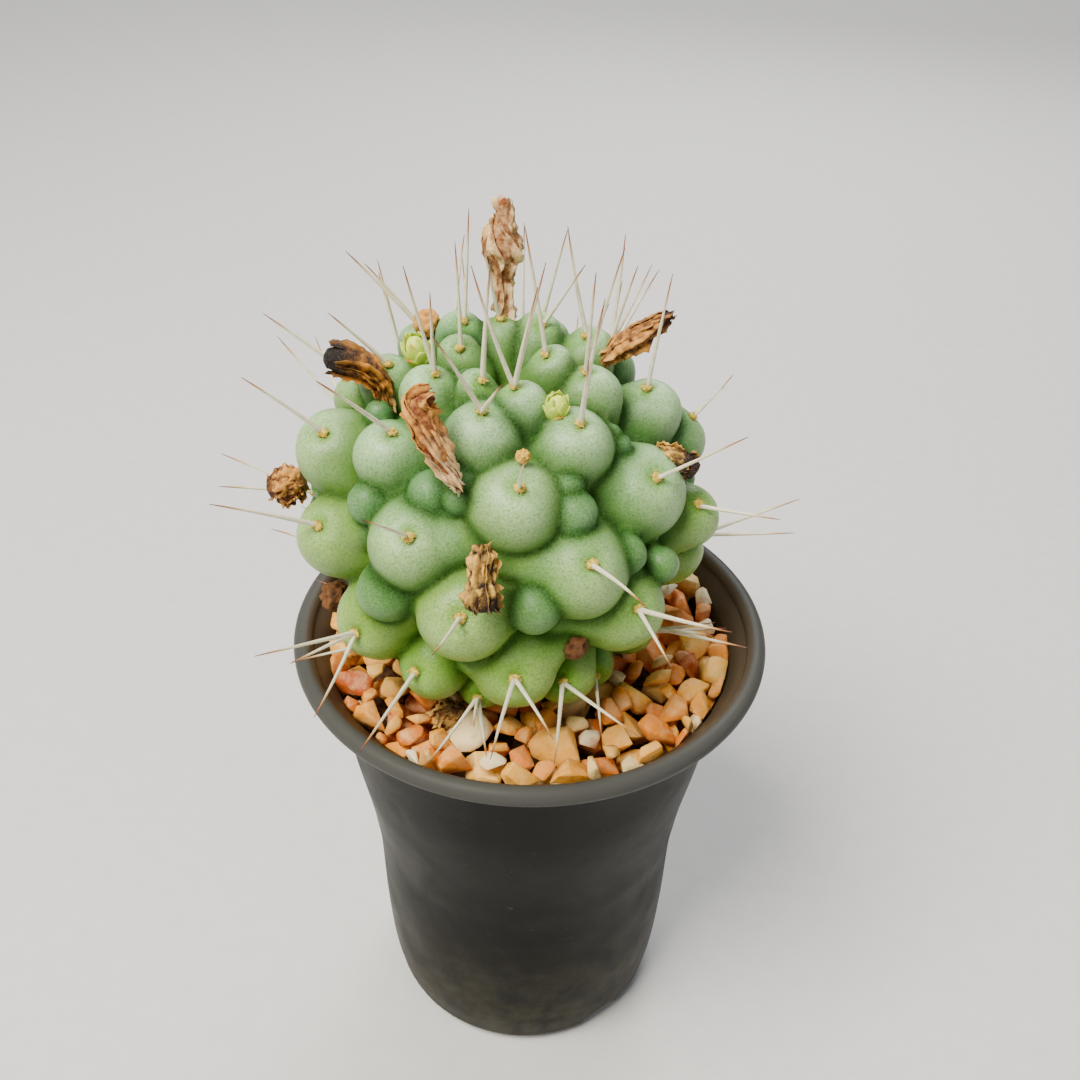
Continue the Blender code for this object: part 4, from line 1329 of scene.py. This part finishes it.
# One turned wall, out, over the rolled rim and back in, with drain notches cut through the foot.
def buildPot():
    p = potShape
    corner = arcPoints((p["foot"] - p["corner"], p["corner"]), p["corner"], -90, 0, 8)
    side = [(key[0], key[1]) for key in smoothLine([corner[-1]] + p["side"], 46)[1:]]
    bead = arcPoints((p["rimRadius"] - p["bead"], p["height"] - p["bead"]), p["bead"], -80, 190, 22)
    inner = [(r - p["wall"], z) for r, z in reversed(side)]
    innerCorner = arcPoints((p["foot"] - p["corner"], p["corner"] + 0.2), p["corner"] - p["wall"], 0, -80, 6)
    underside, bottom = [(0.0, 0.0), (10.0, 0.0)], [(10.0, p["floor"]), (0.0, p["floor"])]
    profile = underside + corner + side + bead + inner + innerCorner + bottom

    def outOfRound(angle, height):
        share = max(0.0, (height - p["ovalFrom"]) / (p["height"] - p["ovalFrom"]))
        return 1 + share * (p["oval"] * math.cos(2 * angle + 0.9) + p["threeSided"] * math.cos(3 * angle))

    points, faces = turnedMesh(profile, p["segments"], outOfRound=outOfRound)
    pot = meshObject("nurseryPot", points, faces)
    tidyNormals(pot)
    cutters = []
    for number, azimuth in enumerate(p["notches"]):
        outward = direction(azimuth, 0)
        turn = outward.to_track_quat("Z", "Y").to_matrix().to_4x4()
        shape = bmesh.new()
        bmesh.ops.create_cone(shape, cap_ends=True, segments=48, radius1=p["notchRadius"],
                              radius2=p["notchRadius"], depth=9.0,
                              matrix=Matrix.Translation(outward * p["foot"]) @ turn)
        cutters.append(fromBmesh(f"notchCutter{number}", shape))
        cut = pot.modifiers.new(f"notch{number}", "BOOLEAN")
        cut.object = cutters[-1]
    pot = baked("nurseryPot", pot, potPlastic())
    for cutter in cutters:
        bpy.data.objects.remove(cutter)
    pot.data.shade_smooth()
    pot.data.set_sharp_from_angle(angle=math.radians(38))
    inside = []
    for vert in pot.data.vertices:
        outward = Vector((vert.co.x, vert.co.y, 0)).normalized()
        share = within(-vert.normal.dot(outward) * 3 - 0.6)
        inside.append((share, share, share, 1))
    storeColour(pot.data, "inside", inside)
    return pot


# Gritty potting mix: dark brown peat with pale grains
def pottingMix():
    made, tree, shader, where = newMaterial("pottingMix_gritty", 0.95, 1.4)
    lumps = addNode(tree, "ShaderNodeTexNoise", {
        "Vector": where, "Scale": 1 / (1.2 * mm), "Detail": 5.0, "Roughness": 0.7})
    grit = addNode(tree, "ShaderNodeTexVoronoi", {"Vector": where, "Scale": 1 / (1.1 * mm)})
    colour = layered(
        tree, srgb("#3b2616"),
        (lumps, (0.35, 0.7), (0, 1), srgb("#7c5a38")),
        (grit, (0.12, 0.22), (0.7, 0), srgb("#b79a6c")))
    tree.links.new(colour, shader.inputs["Base Color"])
    addNode(tree, "ShaderNodeBump", {"Height": lumps, "Distance": 0.6 * mm, "Strength": 1.0},
            into=shader.inputs["Normal"])
    return made


# Fixes a finished piece to the plant's one body and hides the nodes it takes the place of.
def settle(piece, slot, *nodes):
    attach(piece, "root")
    if nodes:
        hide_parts(*nodes)


print("growing the cactus")
cactus = growCactus()
skinSurface = surfaceOf(cactus)
areoles = areolePlaces(skinSurface)
skinPoints, skinNormals = sinkAreoles(cactus, areoles)
cactus = soften(cactus)
paintSkin(cactus, areoles, skinPoints, skinNormals)
cactus.data.materials.append(cactusSkin())
settle(cactus, "cactus_skin", "cactus_body")
print("cactus faces", len(cactus.data.polygons))

print("setting wool and spines")
areoleNodes = sorted(name for name in frame["nodes"] if name.startswith("areole_"))
settle(buildSpines(areoles), "spine", *areoleNodes)
settle(buildWool(areoles), "spine")

print("drying the flowers")
for number, (name, spec) in enumerate(flowers.items()):
    settle(buildFlower(name, spec, number + 2), "dried_flower", spec["replaces"])
for number, (name, (place, size, look)) in enumerate(bits.items()):
    settle(buildBit(name, place, size, look, number + 20), "dried_flower")
budMaterial = budScale()
for number, (name, spec) in enumerate(buds.items()):
    settle(buildBud(name, spec, budMaterial, number + 40), "bud", spec["replaces"])

print("pouring the gravel")
stoneNodes = sorted(name for name in frame["nodes"] if name.startswith("stone_"))
settle(buildGravel(), "gravel", "gravel_bed", *stoneNodes)

print("moulding the pot")
settle(buildPot(), "pot_plastic", "pot")
soil = frame["nodes"]["soil_mix"]
soil.data.materials.clear()
soil.data.materials.append(pottingMix())


studio = {
    "floorSize": 3000, "air": "#dfe3e8", "airStrength": 0.18,
    "eye": (1.19, -119.32, 173.90), "eyePitch": 36.24, "eyeRoll": 1.45, "lens": 36.67,
}
# metres: place, what it lights, size, then watts and colour
softboxes = {
    "keyLight": ((-0.25, -0.22, 0.62), (0, 0, 0.09), 0.34, 9.2, "#fff9ee"),
    "fillLight": ((0.50, -0.30, 0.35), (0, 0, 0.07), 0.40, 0.8, "#eef3ff"),
    "floorLight": ((0, 1.1, 1.4), (0, 1.5, 0), 1.2, 22, "#ffffff"),
    "backLight": ((0.15, 0.55, 0.45), (0, 0, 0.10), 0.30, 2.2, "#ffffff"),
}


# Matt seamless paper, pale warm grey
def studioPaper():
    made, tree, shader, where = newMaterial("studioPaper_matt", 0.9, 1.45)
    fibre = addNode(tree, "ShaderNodeTexNoise", {
        "Vector": where, "Scale": 1 / (4.0 * mm), "Detail": 4.0, "Roughness": 0.55})
    colour = layered(tree, srgb("#d3d2cf"), (fibre, (0.3, 0.7), (0, 1), srgb("#d8d7d4")))
    tree.links.new(colour, shader.inputs["Base Color"])
    return made


def buildStudio():
    shape = bmesh.new()
    bmesh.ops.create_grid(shape, x_segments=1, y_segments=1, size=studio["floorSize"] / 2)
    floor = fromBmesh("studioFloor", shape, studioPaper())
    world = bpy.data.worlds.new("studioAir")
    world.use_nodes = True
    air = world.node_tree.nodes["Background"]
    air.inputs["Color"].default_value = srgb(studio["air"])
    air.inputs["Strength"].default_value = studio["airStrength"]
    bpy.context.scene.world = world
    for name, (place, target, size, watts, colour) in softboxes.items():
        light = bpy.data.lights.new(name, "AREA")
        light.shape = "SQUARE"
        light.size = size
        light.energy = watts
        light.color = srgb(colour)[:3]
        lamp = linked(bpy.data.objects.new(name, light))
        lamp.location = place
        lamp.rotation_euler = (Vector(target) - Vector(place)).to_track_quat("-Z", "Y").to_euler()


def buildCamera():
    pitch, roll = math.radians(studio["eyePitch"]), math.radians(studio["eyeRoll"])
    ahead = Vector((0, math.cos(pitch), -math.sin(pitch)))
    right = Vector((1, 0, 0))
    up = right.cross(ahead)
    tiltedRight = right * math.cos(roll) + up * math.sin(roll)
    tiltedUp = up * math.cos(roll) - right * math.sin(roll)
    lens = bpy.data.cameras.new("eye")
    lens.lens = studio["lens"]
    lens.sensor_width = 36
    lens.clip_start = 0.01
    eye = linked(bpy.data.objects.new("eye", lens))
    turn = Matrix((tiltedRight, tiltedUp, -ahead)).transposed()
    eye.matrix_world = Matrix.Translation(Vector(studio["eye"]) * mm) @ turn.to_4x4()
    bpy.context.scene.camera = eye


buildStudio()
buildCamera()

print("done")
